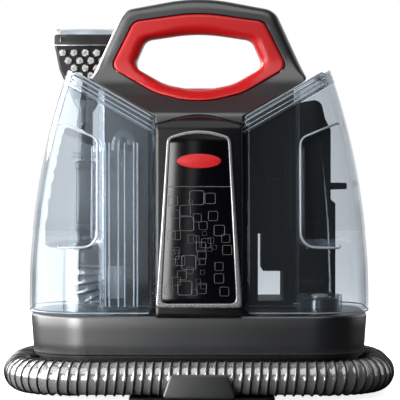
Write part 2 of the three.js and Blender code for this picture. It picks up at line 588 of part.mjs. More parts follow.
// Hand tool stored upright, brush face to the front
function toolBody() {
  const { x, y } = TOOL;
  const spigot = rod(6, 22, [x, y, 109], "z", 16);
  const tail = upright(rectangle(8, 8.5, 3).map(([px, py, r]) => [px + x, py + y, r]), 129, 141);
  const grip = upright(rectangle(9.2, 10.5, 4).map(([px, py, r]) => [px + x, py + y, r]), 140, 199.5);
  const collar = upright(rectangle(10, 11.2, 4).map(([px, py, r]) => [px + x, py + y, r]), 199, 205);
  const neck = upright(rectangle(6.6, 7.2, 3).map(([px, py, r]) => [px + x, py + y, r]), 204, 262);
  const head = frontal([
    [x - 6.6, 252], [x + 6.6, 252], [x + 12, 262, 4], [x + 25, 292, 6], [x + TOOL.halfHead, 314, 4],
    [x + TOOL.halfHead, 322], [x - TOOL.halfHead, 322],
    [x - TOOL.halfHead, 314, 4], [x - 25, 292, 6], [x - 12, 262, 4],
  ], y + 1, y + 13);
  const slot = block(x - 25, x + 25, y + 4, y + 10, 300, 330);
  const groove = block(x - 3, x + 3, y + 7.4, y + 20, 152, 192);
  return spigot.add(tail).add(grip).add(collar).add(neck).add(head).subtract(slot).subtract(groove);
}

function toolNozzle() {
  const { x, y } = TOOL;
  const lip = upright([
    [x - 29, y - 5, 3], [x + 29, y - 5, 3], [x + 29, y + 13, 3], [x - 29, y + 13, 3],
  ], 322 + GAP, 330);
  return lip.subtract(block(x - 25, x + 25, y + 4, y + 10, 310, 340));
}

const TUFT_ROWS = [[5, 307], [4, 300], [3, 293], [2, 286]];

function toolBrush() {
  const { x, y } = TOOL;
  const front = y - 6;
  let brush = frontal([
    [x - 11, 264, 3], [x + 11, 264, 3], [x + 24, 292, 4], [x + 28.6, 314, 3], [x + 28.6, 321, 1.5],
    [x - 28.6, 321, 1.5], [x - 28.6, 314, 3], [x - 24, 292, 4],
  ], front, y + 1 - GAP).subtract(block(x - 7.4, x + 7.4, y - 8, FAR, 200, 263));
  for (const [count, z] of TUFT_ROWS) {
    for (let i = 0; i < count; i++) {
      const across = x + (i - (count - 1) / 2) * 10.5;
      brush = brush.add(rod(3, 8.5, [across, front - 8, z], "y", 7));
    }
  }
  return brush;
}

const TRIGGER = { top: 190, bottom: 154 };
place("tool_body", toolBody(), charcoal);
place("tool_nozzle", toolNozzle(), clearTint);
place("tool_brush", toolBrush().subtract(block(-FAR, 0, TOOL.y - 7.6, FAR, 200, 262.4)), black);
place("tool_trigger", sideways([
  [TOOL.y + 8.2, TRIGGER.top, 1], [TOOL.y + 12.5, TRIGGER.top, 1.5], [TOOL.y + 14.8, TRIGGER.bottom, 1.5],
  [TOOL.y + 12, TRIGGER.bottom, 1], [TOOL.y + 10.4, 180, 2],
], TOOL.x - 2.6, TOOL.x + 2.6), black);
place("spray_tip", turned(
  [[0, 0], [3, 0], [4.6, 4], [4.6, 8], [0, 8]], [TOOL.x, TOOL.y - 7.6 - 8, 238], "y", 14), black);
const holderPiece = (left, right, back) => block(left, right, REAR.back + GAP, back, 208, 221);
place("tool_holder", holderPiece(-122, -62, REAR.back + 3.4)
  .add(holderPiece(-122, -118, 97)).add(holderPiece(-96, -92, 97)), charcoal);

export default spotExtractor;
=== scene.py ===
"""Spot extractor: the finished look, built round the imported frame. Metres, +Z up, front towards -Y."""

import math
import random

import bmesh
import bpy
import numpy as np
from mathutils import Matrix, Vector
from mathutils.geometry import tessellate_polygon
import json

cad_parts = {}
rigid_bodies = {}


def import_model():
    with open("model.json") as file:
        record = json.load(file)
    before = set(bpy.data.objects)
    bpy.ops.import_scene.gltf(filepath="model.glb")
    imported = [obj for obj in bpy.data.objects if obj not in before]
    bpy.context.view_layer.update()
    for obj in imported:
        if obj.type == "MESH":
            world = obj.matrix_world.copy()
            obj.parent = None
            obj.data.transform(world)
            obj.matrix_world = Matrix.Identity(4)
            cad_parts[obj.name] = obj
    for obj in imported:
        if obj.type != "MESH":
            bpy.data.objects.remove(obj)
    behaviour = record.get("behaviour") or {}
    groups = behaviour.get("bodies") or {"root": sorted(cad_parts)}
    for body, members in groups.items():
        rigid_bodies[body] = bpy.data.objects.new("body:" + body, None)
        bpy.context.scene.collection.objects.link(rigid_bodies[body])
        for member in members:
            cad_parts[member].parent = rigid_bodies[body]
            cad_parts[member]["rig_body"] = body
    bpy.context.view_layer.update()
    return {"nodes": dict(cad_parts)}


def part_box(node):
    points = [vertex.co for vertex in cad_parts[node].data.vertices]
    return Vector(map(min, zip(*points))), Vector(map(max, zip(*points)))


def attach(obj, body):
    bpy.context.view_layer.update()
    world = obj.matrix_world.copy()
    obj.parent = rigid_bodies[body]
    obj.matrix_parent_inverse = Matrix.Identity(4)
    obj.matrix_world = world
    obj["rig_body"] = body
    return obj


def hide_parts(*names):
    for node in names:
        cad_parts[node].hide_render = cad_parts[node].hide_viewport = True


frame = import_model()

MM = 0.001
MACHINE = "machine"


# ---------------------------------------------------------------- camera, light and floor

CAMERA_HEIGHT = 207.5 * MM
CAMERA_DISTANCE = 1.8
CAMERA_PITCH = math.radians(1.17)
FOCAL_LENGTH = 179.8


def make_camera():
    data = bpy.data.cameras.new("camera")
    data.lens = FOCAL_LENGTH
    data.sensor_width = 36
    data.shift_x = 0.0025
    data.clip_end = 50
    camera = bpy.data.objects.new("camera", data)
    bpy.context.scene.collection.objects.link(camera)
    camera.location = (0, -CAMERA_DISTANCE, CAMERA_HEIGHT)
    camera.rotation_euler = (math.pi / 2 - CAMERA_PITCH, 0, 0)
    bpy.context.scene.camera = camera


def soft_box(name, place, target, size, power, spread=180):
    """A rectangular studio light that looks at its target; spread is its beam in degrees."""
    data = bpy.data.lights.new(name, "AREA")
    data.shape = "RECTANGLE"
    data.size, data.size_y = size
    data.energy = power
    data.spread = math.radians(spread)
    light = bpy.data.objects.new(name, data)
    bpy.context.scene.collection.objects.link(light)
    light.location = place
    aim = Vector(target) - Vector(place)
    light.rotation_euler = aim.to_track_quat("-Z", "Y").to_euler()


make_camera()


# ---------------------------------------------------------------- shader expressions


class Socket:
    """A shader socket that can be used in Python expressions."""

    def __init__(self, tree, socket):
        self.tree = tree
        self.socket = socket

    def _maths(self, operation, *values):
        return node(self.tree, "ShaderNodeMath", {"operation": operation}, dict(enumerate(values)))

    def __add__(self, other):
        return self._maths("ADD", self, other)

    __radd__ = __add__

    def __sub__(self, other):
        return self._maths("SUBTRACT", self, other)

    def __rsub__(self, other):
        return self._maths("SUBTRACT", other, self)

    def __mul__(self, other):
        return self._maths("MULTIPLY", self, other)

    __rmul__ = __mul__

    def __pow__(self, other):
        return self._maths("POWER", self, other)

    def limited(self):
        return node(self.tree, "ShaderNodeClamp", {}, {"Value": self})


def node(tree, kind, settings=None, inputs=None, output=0):
    """Adds a node: settings first, then the values or links of its sockets; gives one output."""
    made = tree.nodes.new(kind)
    for key, value in (settings or {}).items():
        if key == "stops":
            ramp = made.color_ramp
            while len(ramp.elements) < len(value):
                ramp.elements.new(0.5)
            for element, (position, colour) in zip(ramp.elements, value):
                element.position = position
                element.color = (*colour, 1) if isinstance(colour, tuple) else (colour, colour, colour, 1)
        else:
            setattr(made, key, value)
    for key, value in (inputs or {}).items():
        target = made.inputs[key]
        if isinstance(value, Socket):
            tree.links.new(value.socket, target)
        else:
            short = isinstance(value, tuple) and len(target.default_value) > len(value)
            target.default_value = (*value, 1) if short else value
    return Socket(tree, made.outputs[output]) if made.outputs else None


def new_material(name):
    material = bpy.data.materials.new(name)
    material.use_nodes = True
    tree = material.node_tree
    tree.nodes.clear()
    return material, tree


def close_tree(tree, shader, output="ShaderNodeOutputMaterial"):
    node(tree, output, {}, {"Surface": shader})


def noise(tree, scale, detail=3, roughness=0.55, stretch=None):
    where = node(tree, "ShaderNodeTexCoord", output="Object")
    if stretch:
        where = node(tree, "ShaderNodeMapping", {}, {"Vector": where, "Scale": stretch})
    return node(tree, "ShaderNodeTexNoise", {}, {
        "Vector": where, "Scale": scale, "Detail": detail, "Roughness": roughness})


def ramp(tree, value, stops):
    return node(tree, "ShaderNodeValToRGB", {"stops": stops}, {0: value})


def bump(tree, height, strength, distance):
    return node(tree, "ShaderNodeBump", {}, {"Height": height, "Strength": strength, "Distance": distance})


def blended(tree, share, low, high):
    return node(tree, "ShaderNodeMix", {"data_type": "RGBA"}, {0: share, 6: low, 7: high}, output=2)


def moulding(name, colour, worn, roughness, grain, grain_depth, coat=0.0, metallic=0.0, specular=0.5,
             coat_roughness=0.08):
    """Moulded or painted plastic: fine grain, slight haze, and lighter dust where it's rubbed."""
    material, tree = new_material(name)
    haze = noise(tree, 9, 4, 0.6)
    fine = noise(tree, grain, 2, 0.5)
    smear = noise(tree, 38, 5, 0.7, stretch=(1, 1, 0.25))
    dust = ramp(tree, smear, [(0.55, 0.0), (0.85, 1.0)])
    tone = blended(tree, haze, tuple(c * 0.9 for c in colour), tuple(c * 1.1 for c in colour))
    shade = blended(tree, dust * 0.25, tone, worn)
    shader = node(tree, "ShaderNodeBsdfPrincipled", {}, {
        "Base Color": shade,
        "Roughness": haze * 0.1 + fine * 0.06 + (roughness - 0.08) + dust * 0.05,
        "Metallic": metallic,
        "Specular IOR Level": specular,
        "Coat Weight": coat,
        "Coat Roughness": coat_roughness,
        "Normal": bump(tree, fine, 0.25, grain_depth),
    })
    close_tree(tree, shader)
    return material


def clear_plastic(name, tint, body, grazing, roughness=0.05, base=0.06, shine=0.8, ripple_depth=0.0002):
    """Tinted clear moulding: what is behind shows through the tint, and the rims turn to body colour."""
    material, tree = new_material(name)
    ripple = noise(tree, 14, 2, 0.4)
    streak = noise(tree, 60, 4, 0.7, stretch=(1, 1, 0.12))
    facing = node(tree, "ShaderNodeLayerWeight", {}, {"Blend": 0.5}, output="Facing")
    share = (facing ** 2.6) * grazing + base + ramp(tree, streak, [(0.6, 0.0), (0.8, 1.0)]) * 0.01
    gloss = node(tree, "ShaderNodeBsdfPrincipled", {}, {
        "Base Color": body,
        "Metallic": shine,
        "Roughness": streak * 0.05 + roughness,
        "Normal": bump(tree, ripple, 0.15, ripple_depth),
    })
    through = node(tree, "ShaderNodeBsdfTransparent", {}, {"Color": tint})
    close_tree(tree, node(tree, "ShaderNodeMixShader", {}, {0: share.limited(), 1: through, 2: gloss}))
    return material


CHARCOAL = moulding("charcoal_moulding", (0.0056, 0.0066, 0.0082), (0.02, 0.02, 0.02), 0.36, 900, 0.000006,
                    coat=0.8, specular=1.0, coat_roughness=0.3)
COLUMN = moulding("dark_column_moulding", (0.005, 0.0055, 0.0065), (0.02, 0.02, 0.02), 0.22, 900, 0.000003,
                  specular=0.35)
BLACK = moulding("black_moulding", (0.006, 0.006, 0.007), (0.015, 0.015, 0.015), 0.42, 1100, 0.000004,
                 specular=0.22)
GLOSS_BLACK = moulding("gloss_black_panel", (0.002, 0.002, 0.003), (0.008, 0.008, 0.008), 0.15, 500, 0.000002,
                       specular=0.22)
RED = moulding("red_grip_moulding", (0.52, 0.006, 0.008), (0.52, 0.03, 0.03), 0.36, 700, 0.000003, coat=0.12)
SILVER = moulding("silver_paint", (0.36, 0.36, 0.365), (0.5, 0.5, 0.5), 0.26, 2600, 0.000003, coat=0.3,
                  metallic=0.9)
GREY_PRINT = moulding("grey_print", (0.075, 0.075, 0.08), (0.2, 0.2, 0.2), 0.36, 1500, 0.000002)
RUBBER = moulding("black_rubber", (0.014, 0.014, 0.014), (0.06, 0.058, 0.055), 0.7, 1300, 0.00002,
                  specular=0.3)
STEEL = moulding("zinc_steel", (0.5, 0.5, 0.49), (0.35, 0.34, 0.33), 0.32, 400, 0.000006, metallic=1.0)
WHITE = moulding("natural_white_moulding", (0.62, 0.64, 0.65), (0.6, 0.59, 0.55), 0.42, 900, 0.000006)
FLOAT = moulding("grey_float_moulding", (0.16, 0.18, 0.2), (0.3, 0.3, 0.3), 0.45, 900, 0.000006)
NYLON = moulding("white_nylon_bristle", (0.97, 0.97, 0.965), (0.93, 0.93, 0.92), 0.5, 2000, 0.000004)
FOAM = moulding("filter_foam", (0.07, 0.07, 0.075), (0.14, 0.14, 0.14), 0.95, 300, 0.0003, specular=0.1)
CUFF = moulding("smoky_grey_cuff", (0.05, 0.052, 0.055), (0.1, 0.1, 0.1), 0.32, 900, 0.000006)
BAND = moulding("dark_satin_band", (0.013, 0.013, 0.013), (0.05, 0.05, 0.05), 0.33, 900, 0.000006)
CLEAR = clear_plastic("clear_tank_plastic", (0.875, 0.895, 0.912), (0.5, 0.56, 0.62), 0.3, base=0.08)
CLEAR_LID = clear_plastic("clear_lid_plastic", (0.82, 0.85, 0.875), (0.58, 0.65, 0.71), 0.85, base=0.12,
                          shine=0.7)
CLEAR_STACK = clear_plastic("clear_stack_plastic", (0.88, 0.9, 0.915), (0.62, 0.68, 0.73), 0.9, base=0.14,
                            shine=0.7)
HOSE_WALL = clear_plastic("smoky_hose_wall", (0.42, 0.43, 0.43), (0.66, 0.66, 0.655), 0.3, roughness=0.16,
                          base=0.6, shine=0.65, ripple_depth=0.00001)
# Opaque grey-blue for the beads along the clear walls' edges, lid flanges, foot and stack: painted highlight
# and shade lines standing in for light caught in thick clear plastic.
PAINTED_EDGE_LINES = moulding("painted_edge_highlight_shade", (0.36, 0.405, 0.445), (0.45, 0.49, 0.53), 0.25, 900, 0.000003, coat=0.5)
RIB = moulding("dark_hose_helix", (0.004, 0.004, 0.005), (0.03, 0.03, 0.03), 0.3, 900, 0.000004)


# ---------------------------------------------------------------- mesh helpers


def mesh_piece(name, points, faces, material, smooth=True, sharp=40):
    mesh = bpy.data.meshes.new(name)
    mesh.from_pydata([tuple(p) for p in points], [], faces)
    piece = bpy.data.objects.new(name, mesh)
    bpy.context.scene.collection.objects.link(piece)
    tidy_mesh(mesh)
    finish_surface(piece, material, smooth, sharp)
    return piece


def tidy_mesh(mesh):
    work = bmesh.new()
    work.from_mesh(mesh)
    bmesh.ops.remove_doubles(work, verts=work.verts, dist=1e-6)
    bmesh.ops.dissolve_degenerate(work, edges=work.edges, dist=1e-7)
    bmesh.ops.recalc_face_normals(work, faces=work.faces)
    work.to_mesh(mesh)
    work.free()


def finish_surface(piece, material, smooth=True, sharp=40):
    mesh = piece.data
    mesh.materials.clear()
    mesh.materials.append(material)
    mesh.polygons.foreach_set("use_smooth", [smooth] * len(mesh.polygons))
    if smooth:
        mesh.set_sharp_from_angle(angle=math.radians(sharp))
    mesh.update()


def joined_to(piece, body, slot, *nodes):
    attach(piece, body)
    if nodes:
        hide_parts(*nodes)
    return piece


def rounded(corners, steps=10):
    """A closed outline of [a, b] points from corners (a, b, radius), each rounded by a true arc."""
    points = []
    count = len(corners)
    for i, corner in enumerate(corners):
        here = Vector(corner[:2])
        radius = corner[2] if len(corner) > 2 else 0
        if radius <= 0:
            points.append(here)
            continue
        before = (Vector(corners[i - 1][:2]) - here).normalized()
        after = (Vector(corners[(i + 1) % count][:2]) - here).normalized()
        half = math.acos(max(-1, min(1, before.dot(after)))) / 2
        middle = here + (before + after).normalized() * (radius / math.sin(half))
        first = here + before * (radius / math.tan(half)) - middle
        last = here + after * (radius / math.tan(half)) - middle
        start = math.atan2(first.y, first.x)
        turn = (math.atan2(last.y, last.x) - start + math.pi) % (2 * math.pi) - math.pi
        for k in range(steps + 1):
            angle = start + turn * k / steps
            points.append(middle + Vector((math.cos(angle), math.sin(angle))) * radius)
    return np.array([tuple(p) for p in points])


def oblong(left, low, right, high, corner=0, steps=10):
    """A rectangle with rounded corners, from its lower left to its upper right."""
    corners = ((left, low), (right, low), (right, high), (left, high))
    return rounded([(a, b, corner) for a, b in corners], steps)


def both_sides(corners):
    """Corners of the right half, from the top centre down, mirrored to the left."""
    left = [(-c[0], *c[1:]) for c in reversed(corners) if abs(c[0]) > 1e-9]
    return list(corners) + left


def evenly(outline, count):
    """The outline resampled to count points, starting where it starts."""
    closed = np.vstack([outline, outline[:1]])
    lengths = np.r_[0, np.cumsum(np.linalg.norm(np.diff(closed, axis=0), axis=1))]
    along = np.linspace(0, lengths[-1], count, endpoint=False)
    return np.stack([np.interp(along, lengths, closed[:, k]) for k in range(2)], 1)


def inward(outline):
    """Unit vectors that point into an anticlockwise or clockwise closed outline."""
    ahead = np.roll(outline, -1, 0) - np.roll(outline, 1, 0)
    ahead /= np.linalg.norm(ahead, axis=1, keepdims=True) + 1e-12
    normal = np.stack([-ahead[:, 1], ahead[:, 0]], 1)
    nxt = np.roll(outline, -1, 0)
    area = np.sum(outline[:, 0] * nxt[:, 1] - nxt[:, 0] * outline[:, 1])
    return normal if area > 0 else -normal


def in_metres(points):
    return np.array(points) * MM


def flat_line(outline, depth):
    """Points (x, z) in mm at one depth, in metres."""
    return in_metres([(x, depth, z) for x, z in outline])


def loft(name, rings, material, sharp=40, closed=False):
    """A solid through rings of equal point counts, capped at both ends, or closed on itself."""
    rings = [np.asarray(ring, float) for ring in rings]
    count = len(rings[0])
    points = np.vstack(rings)
    faces = []
    total = len(rings)
    for i in range(total if closed else total - 1):
        a, b = i * count, ((i + 1) % total) * count
        for k in range(count):
            n = (k + 1) % count
            faces.append((a + k, a + n, b + n, b + k))
    if not closed:
        faces += cap_faces(rings[0], 0, True) + cap_faces(rings[-1], (total - 1) * count, False)
    return mesh_piece(name, points, faces, material, sharp=sharp)


def cap_faces(ring, offset, flip):
    triangles = tessellate_polygon([[Vector(p) for p in ring]])
    return [tuple(offset + i for i in (reversed(t) if flip else t)) for t in triangles]


def slab(name, outline, place, material, near, far, rim=1.0, steps=4):
    """An outline carried from near to far (mm) with rounded rims; place turns (a, b, depth) into a point."""
    into = inward(outline)
    rings = []
    shares = [k / steps for k in range(steps + 1)]
    for face, way, order in ((near, 1, shares), (far, -1, shares[::-1])):
        way *= 1 if far > near else -1
        for share in order:
            angle = math.pi / 2 * share
            shape = outline + into * rim * (1 - math.sin(angle))
            depth = face + way * rim * (1 - math.cos(angle))
            rings.append(in_metres([place(a, b, depth) for a, b in shape]))
    return loft(name, rings, material, sharp=50)


def front_place(a, b, depth):
    return (a, depth, b)


def plan_place(a, b, depth):
    return (a, b, depth)


def side_place(a, b, depth):
    return (depth, a, b)


def refined(node_name, material, slot, width=0.8, segments=3, body=None):
    """The CAD node's shape with merged faces and rounded edges, in its own material."""
    source = frame["nodes"][node_name]
    mesh = source.data.copy()
    piece = bpy.data.objects.new(f"{node_name}_shell", mesh)
    bpy.context.scene.collection.objects.link(piece)
    work = bmesh.new()
    work.from_mesh(mesh)
    bmesh.ops.remove_doubles(work, verts=work.verts, dist=2e-6)
    bmesh.ops.dissolve_limit(work, angle_limit=math.radians(2), verts=work.verts, edges=work.edges)
    work.to_mesh(mesh)
    work.free()
    if width:
        bevel = piece.modifiers.new("rounded_edges", "BEVEL")
        bevel.width = width * MM
        bevel.segments = segments
        bevel.limit_method = "ANGLE"
        bevel.angle_limit = math.radians(28)
        bevel.use_clamp_overlap = True
    finish_surface(piece, material, True, 35)
    return joined_to(piece, body or source["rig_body"], slot, node_name)


# ---------------------------------------------------------------- repeated parts, by Geometry Nodes


def add_group(name, inputs):
    """A Geometry Nodes tree with the named inputs, and a function that gives the socket of one of them."""
    tree = bpy.data.node_groups.new(name, "GeometryNodeTree")
    tree.interface.new_socket("Geometry", in_out="OUTPUT", socket_type="NodeSocketGeometry")
    tree.interface.new_socket("Geometry", in_out="INPUT", socket_type="NodeSocketGeometry")
    for label, kind in inputs:
        tree.interface.new_socket(label, in_out="INPUT", socket_type=kind)
    start = tree.nodes.new("NodeGroupInput")

    def given(label):
        return Socket(tree, start.outputs[label])

    return tree, given


def close_group(tree, shape, material):
    """Ends a tree with real geometry in its material."""
    real = node(tree, "GeometryNodeRealizeInstances", {}, {0: shape})
    painted = node(tree, "GeometryNodeSetMaterial", {}, {"Geometry": real, "Material": material})
    node(tree, "NodeGroupOutput", {}, {0: painted})
    return tree


def bake_group(tree, source, values, name):
    """Runs the tree on the source mesh with the given input values, and keeps the mesh that comes out."""
    carrier = bpy.data.objects.new(f"{name}_source", source)
    bpy.context.scene.collection.objects.link(carrier)
    modifier = carrier.modifiers.new("repeat", "NODES")
    modifier.node_group = tree
    for item in tree.interface.items_tree:
        if item.in_out == "INPUT" and item.name in values:
            modifier[item.identifier] = values[item.name]
    bpy.context.view_layer.update()
    graph = bpy.context.evaluated_depsgraph_get()
    mesh = bpy.data.meshes.new_from_object(carrier.evaluated_get(graph), depsgraph=graph)
    mesh.name = name
    bpy.data.objects.remove(carrier)
    piece = bpy.data.objects.new(name, mesh)
    bpy.context.scene.collection.objects.link(piece)
    return piece


def named_attribute(tree, name, kind):
    return node(tree, "GeometryNodeInputNamedAttribute", {"data_type": kind}, {"Name": name},
                output="Attribute")


def scatter_tree():
    """Puts one part on every point, turned and scaled by the point's own attributes, with a seeded twist."""
    tree, given = add_group("scatter_part", [
        ("Part", "NodeSocketObject"), ("Turn Spread", "NodeSocketFloat"), ("Seed", "NodeSocketInt"),
        ("Material", "NodeSocketMaterial")])
    part = node(tree, "GeometryNodeObjectInfo", {}, {"Object": given("Part")}, output="Geometry")
    placed = node(tree, "GeometryNodeInstanceOnPoints", {}, {
        "Points": given("Geometry"), "Instance": part,
        "Rotation": named_attribute(tree, "turn", "FLOAT_VECTOR"),
        "Scale": named_attribute(tree, "size", "FLOAT")})
    limit = given("Turn Spread")
    twist = node(tree, "FunctionNodeRandomValue", {}, {
        2: limit * -1, 3: limit, "Seed": given("Seed")}, output=1)
    spin = node(tree, "ShaderNodeCombineXYZ", {}, {"Z": twist})
    turned = node(tree, "GeometryNodeRotateInstances", {}, {"Instances": placed, "Rotation": spin})
    return close_group(tree, turned, given("Material"))


def sweep_tree():
    """Sweeps a round section along a line of edges."""
    tree, given = add_group("sweep_round", [
        ("Radius", "NodeSocketFloat"), ("Sides", "NodeSocketInt"), ("Material", "NodeSocketMaterial")])
    curve = node(tree, "GeometryNodeMeshToCurve", {}, {0: given("Geometry")})
    section = node(tree, "GeometryNodeCurvePrimitiveCircle", {}, {
        "Resolution": given("Sides"), "Radius": given("Radius")})
    wire = node(tree, "GeometryNodeCurveToMesh", {}, {
        "Curve": curve, "Profile Curve": section, "Fill Caps": True})
    return close_group(tree, wire, given("Material"))


SCATTER = scatter_tree()
SWEEP = sweep_tree()


def scattered(name, places, part, material, sizes=None, turns=None, turn_spread=0.0, seed=1):
    """One part at each place (metres), with its own size and turn."""
    count = len(places)
    source = bpy.data.meshes.new(f"{name}_points")
    source.from_pydata([tuple(p) for p in places], [], [])
    size = source.attributes.new("size", "FLOAT", "POINT")
    size.data.foreach_set("value", sizes or [1.0] * count)
    turn = source.attributes.new("turn", "FLOAT_VECTOR", "POINT")
    turn.data.foreach_set("vector", [v for t in (turns or [(0, 0, 0)] * count) for v in t])
    piece = bake_group(SCATTER, source, {
        "Part": part, "Turn Spread": turn_spread, "Seed": seed, "Material": material}, name)
    bpy.data.objects.remove(part)
    finish_surface(piece, material, True, 35)
    return piece


def swept(name, points, radius, sides, material, closed=False):
    """A round wire of the given radius (metres) along points (metres)."""
    source = bpy.data.meshes.new(f"{name}_line")
    last = len(points) - 1
    edges = [(i, i + 1) for i in range(last)] + ([(last, 0)] if closed else [])
    source.from_pydata([tuple(p) for p in points], edges, [])
    piece = bake_group(SWEEP, source, {"Radius": radius, "Sides": sides, "Material": material}, name)
    finish_surface(piece, material, True, 45)
    return piece


# ---------------------------------------------------------------- hose

HOSE_RADIUS = 15.3
RIB_PITCH = 7.7
RIB_RADIUS = 1.0
HOSE_ROUTE = [
    (-46.3, 87.5, 19.2), (-74, 87.5, 19.2), (-100, 87.5, 19.2), (-129, 79.7, 19.2),
    (-150.2, 58.5, 19.2), (-158, 29.5, 19.2), (-158, 0, 19.2), (-158, -29.5, 19.2),
    (-150.2, -58.5, 19.2), (-129, -79.7, 19.2), (-100, -87.5, 19.2), (-50, -87.5, 19.2),
    (0, -87.5, 19.2), (50, -87.5, 19.2), (100, -87.5, 19.2), (129, -79.7, 19.2),
    (150.2, -58.5, 19.2), (158, -29.5, 19.2), (158, 0, 19.2), (158, 29.5, 19.2),
    (150.2, 58.5, 19.2), (129, 80, 19.2), (103, 90, 20), (82, 91.8, 27),
    (62, 91.8, 39), (42, 91.8, 48.5), (20, 91.8, 51.5), (-20, 91.8, 51.5),
    (-55, 91.8, 51.5), (-81, 91.8, 58.5), (-100, 91.8, 77.5), (-106.2, 91.8, 94.5),
    (-107, 91.8, 103), (-107, 91.8, 108),
]


def smooth_route(route, step):
    """Even points (mm) along a centripetal Catmull-Rom curve through the route."""
    knots = [np.array(p, float) for p in route]
    knots = [2 * knots[0] - knots[1]] + knots + [2 * knots[-1] - knots[-2]]
    points = []
    for before, start, end, after in zip(knots, knots[1:], knots[2:], knots[3:]):
        t0 = 0
        t1 = t0 + np.linalg.norm(start - before) ** 0.5
        t2 = t1 + np.linalg.norm(end - start) ** 0.5
        t3 = t2 + np.linalg.norm(after - end) ** 0.5
        for t in np.linspace(t1, t2, 24, endpoint=False):
            a1 = (t1 - t) / (t1 - t0) * before + (t - t0) / (t1 - t0) * start
            a2 = (t2 - t) / (t2 - t1) * start + (t - t1) / (t2 - t1) * end
            a3 = (t3 - t) / (t3 - t2) * end + (t - t2) / (t3 - t2) * after
            b1 = (t2 - t) / (t2 - t0) * a1 + (t - t0) / (t2 - t0) * a2
            b2 = (t3 - t) / (t3 - t1) * a2 + (t - t1) / (t3 - t1) * a3
            points.append((t2 - t) / (t2 - t1) * b1 + (t - t1) / (t2 - t1) * b2)
    points = np.array(points + [knots[-2]])
    lengths = np.r_[0, np.cumsum(np.linalg.norm(np.diff(points, axis=0), axis=1))]
    along = np.linspace(0, lengths[-1], int(lengths[-1] / step) + 1)
    return np.stack([np.interp(along, lengths, points[:, k]) for k in range(3)], 1), along


def carried_frames(points):
    """Two unit vectors across the line at each point, carried along it without twist."""
    ahead = np.gradient(points, axis=0)
    ahead /= np.linalg.norm(ahead, axis=1, keepdims=True)
    side = np.cross(ahead[0], (0, 0, 1))
    sides, ups = [], []
    for direction in ahead:
        side = side - direction * np.dot(side, direction)
        side /= np.linalg.norm(side)
        sides.append(side)
        ups.append(np.cross(side, direction))
    return np.array(sides), np.array(ups)


def make_hose():
    line, along = smooth_route(HOSE_ROUTE, RIB_PITCH / 10)
    sides, ups = carried_frames(line)
    angles = np.linspace(0, 2 * math.pi, 48, endpoint=False)
    rings = []
    for point, side, up, distance in zip(line, sides, ups, along):
        phase = 2 * math.pi * distance / RIB_PITCH - angles
        crest = 0.5 + 0.5 * np.cos(phase)
        radius = HOSE_RADIUS - 1.5 + crest ** 3
        ring = point + (np.cos(angles) * radius)[:, None] * side + (np.sin(angles) * radius)[:, None] * up
        rings.append(ring * MM)
    wall = loft("hose_wall", rings, HOSE_WALL, sharp=80)
    joined_to(wall, MACHINE, "hose_clear", "hose")
    winding = np.linspace(0, along[-1], int(along[-1] / RIB_PITCH * 44))

    def on_winding(track):
        return np.stack([np.interp(winding, along, track[:, k]) for k in range(3)], 1)

    angle = 2 * math.pi * winding / RIB_PITCH
    radius = HOSE_RADIUS - RIB_RADIUS + 0.25
    coil = on_winding(line) + (np.cos(angle) * radius)[:, None] * on_winding(sides)
    coil += (np.sin(angle) * radius)[:, None] * on_winding(ups)
    helix = swept("hose_helix", coil * MM, RIB_RADIUS * MM, 7, RIB)
    joined_to(helix, MACHINE, "rubber")
    cuff = round_piece("hose_cuff", (-107, 91.8, 108.4), "z", [
        (7, 0), (14.2, 0), (14.8, 0.6), (14.8, 12.2), (14, 13), (11.4, 19.4), (10.8, 20), (7, 20)], CUFF, 48)
    joined_to(cuff, MACHINE, "hose_clear", "hose_cuff_tool")
    machine_cuff = round_piece("machine_cuff", (-45.95, 87.5, 19.2), "x", [
        (9, 0), (13, 0), (14.8, 5), (14.8, 12), (14.2, 12.6), (14.2, 14.4), (14.8, 15), (14.8, 32.4),
        (14.2, 33.4), (12.6, 35.6), (9, 35.6)], BLACK, 48)
    joined_to(machine_cuff, MACHINE, "black_housing", "hose_cuff_machine")
    path = line[::4] if (len(line) - 1) % 4 == 0 else np.vstack([line[::4], line[-1:]])
    [tuple(p) for p in path * MM]


def round_piece(name, place, axis, profile, material, sides=40):
    """A turned piece: profile of (radius, distance) in mm along x, y or z from a place in mm; a closed ring
    if no radius is 0."""
    angles = np.linspace(0, 2 * math.pi, sides, endpoint=False)
    base = Vector(place)
    solid = profile[0][0] == 0
    stations = [p for p in profile if p[0] > 0] if solid else profile
    rings = []
    for radius, distance in stations:
        flat = [(radius * math.cos(a), radius * math.sin(a), distance) for a in angles]
        if axis == "x":
            flat = [(d, u, v) for u, v, d in flat]
        elif axis == "y":
            flat = [(v, d, u) for u, v, d in flat]
        rings.append(in_metres([tuple(Vector(p) + base) for p in flat]))
    return loft(name, rings, material, sharp=35, closed=not solid)


# ---------------------------------------------------------------- base

DECK = 72
BASE_FOOT = 38
BASE_HALF = 148.8
BASE_DRAFT = 2.3
BASE_MIDDLE_Y = -2


def carve(piece, cutters):
    """Cuts the cutter pieces out of the piece and removes them."""
    for cutter in cutters:
        modifier = piece.modifiers.new("cut", "BOOLEAN")
        modifier.operation = "DIFFERENCE"
        modifier.solver = "EXACT"
        modifier.object = cutter
    bpy.context.view_layer.update()
    graph = bpy.context.evaluated_depsgraph_get()
    mesh = bpy.data.meshes.new_from_object(piece.evaluated_get(graph), depsgraph=graph)
    piece.modifiers.clear()
    material = piece.data.materials[0]
    piece.data = mesh
    for cutter in cutters:
        bpy.data.objects.remove(cutter)
    tidy_mesh(mesh)
    finish_surface(piece, material, True, 35)
    return piece


def plain_rod(radius, place, length):
    """An upright cutter."""
    return round_piece("cutter", place, "z", [(0, 0), (radius, 0), (radius, length), (0, length)], BLACK)


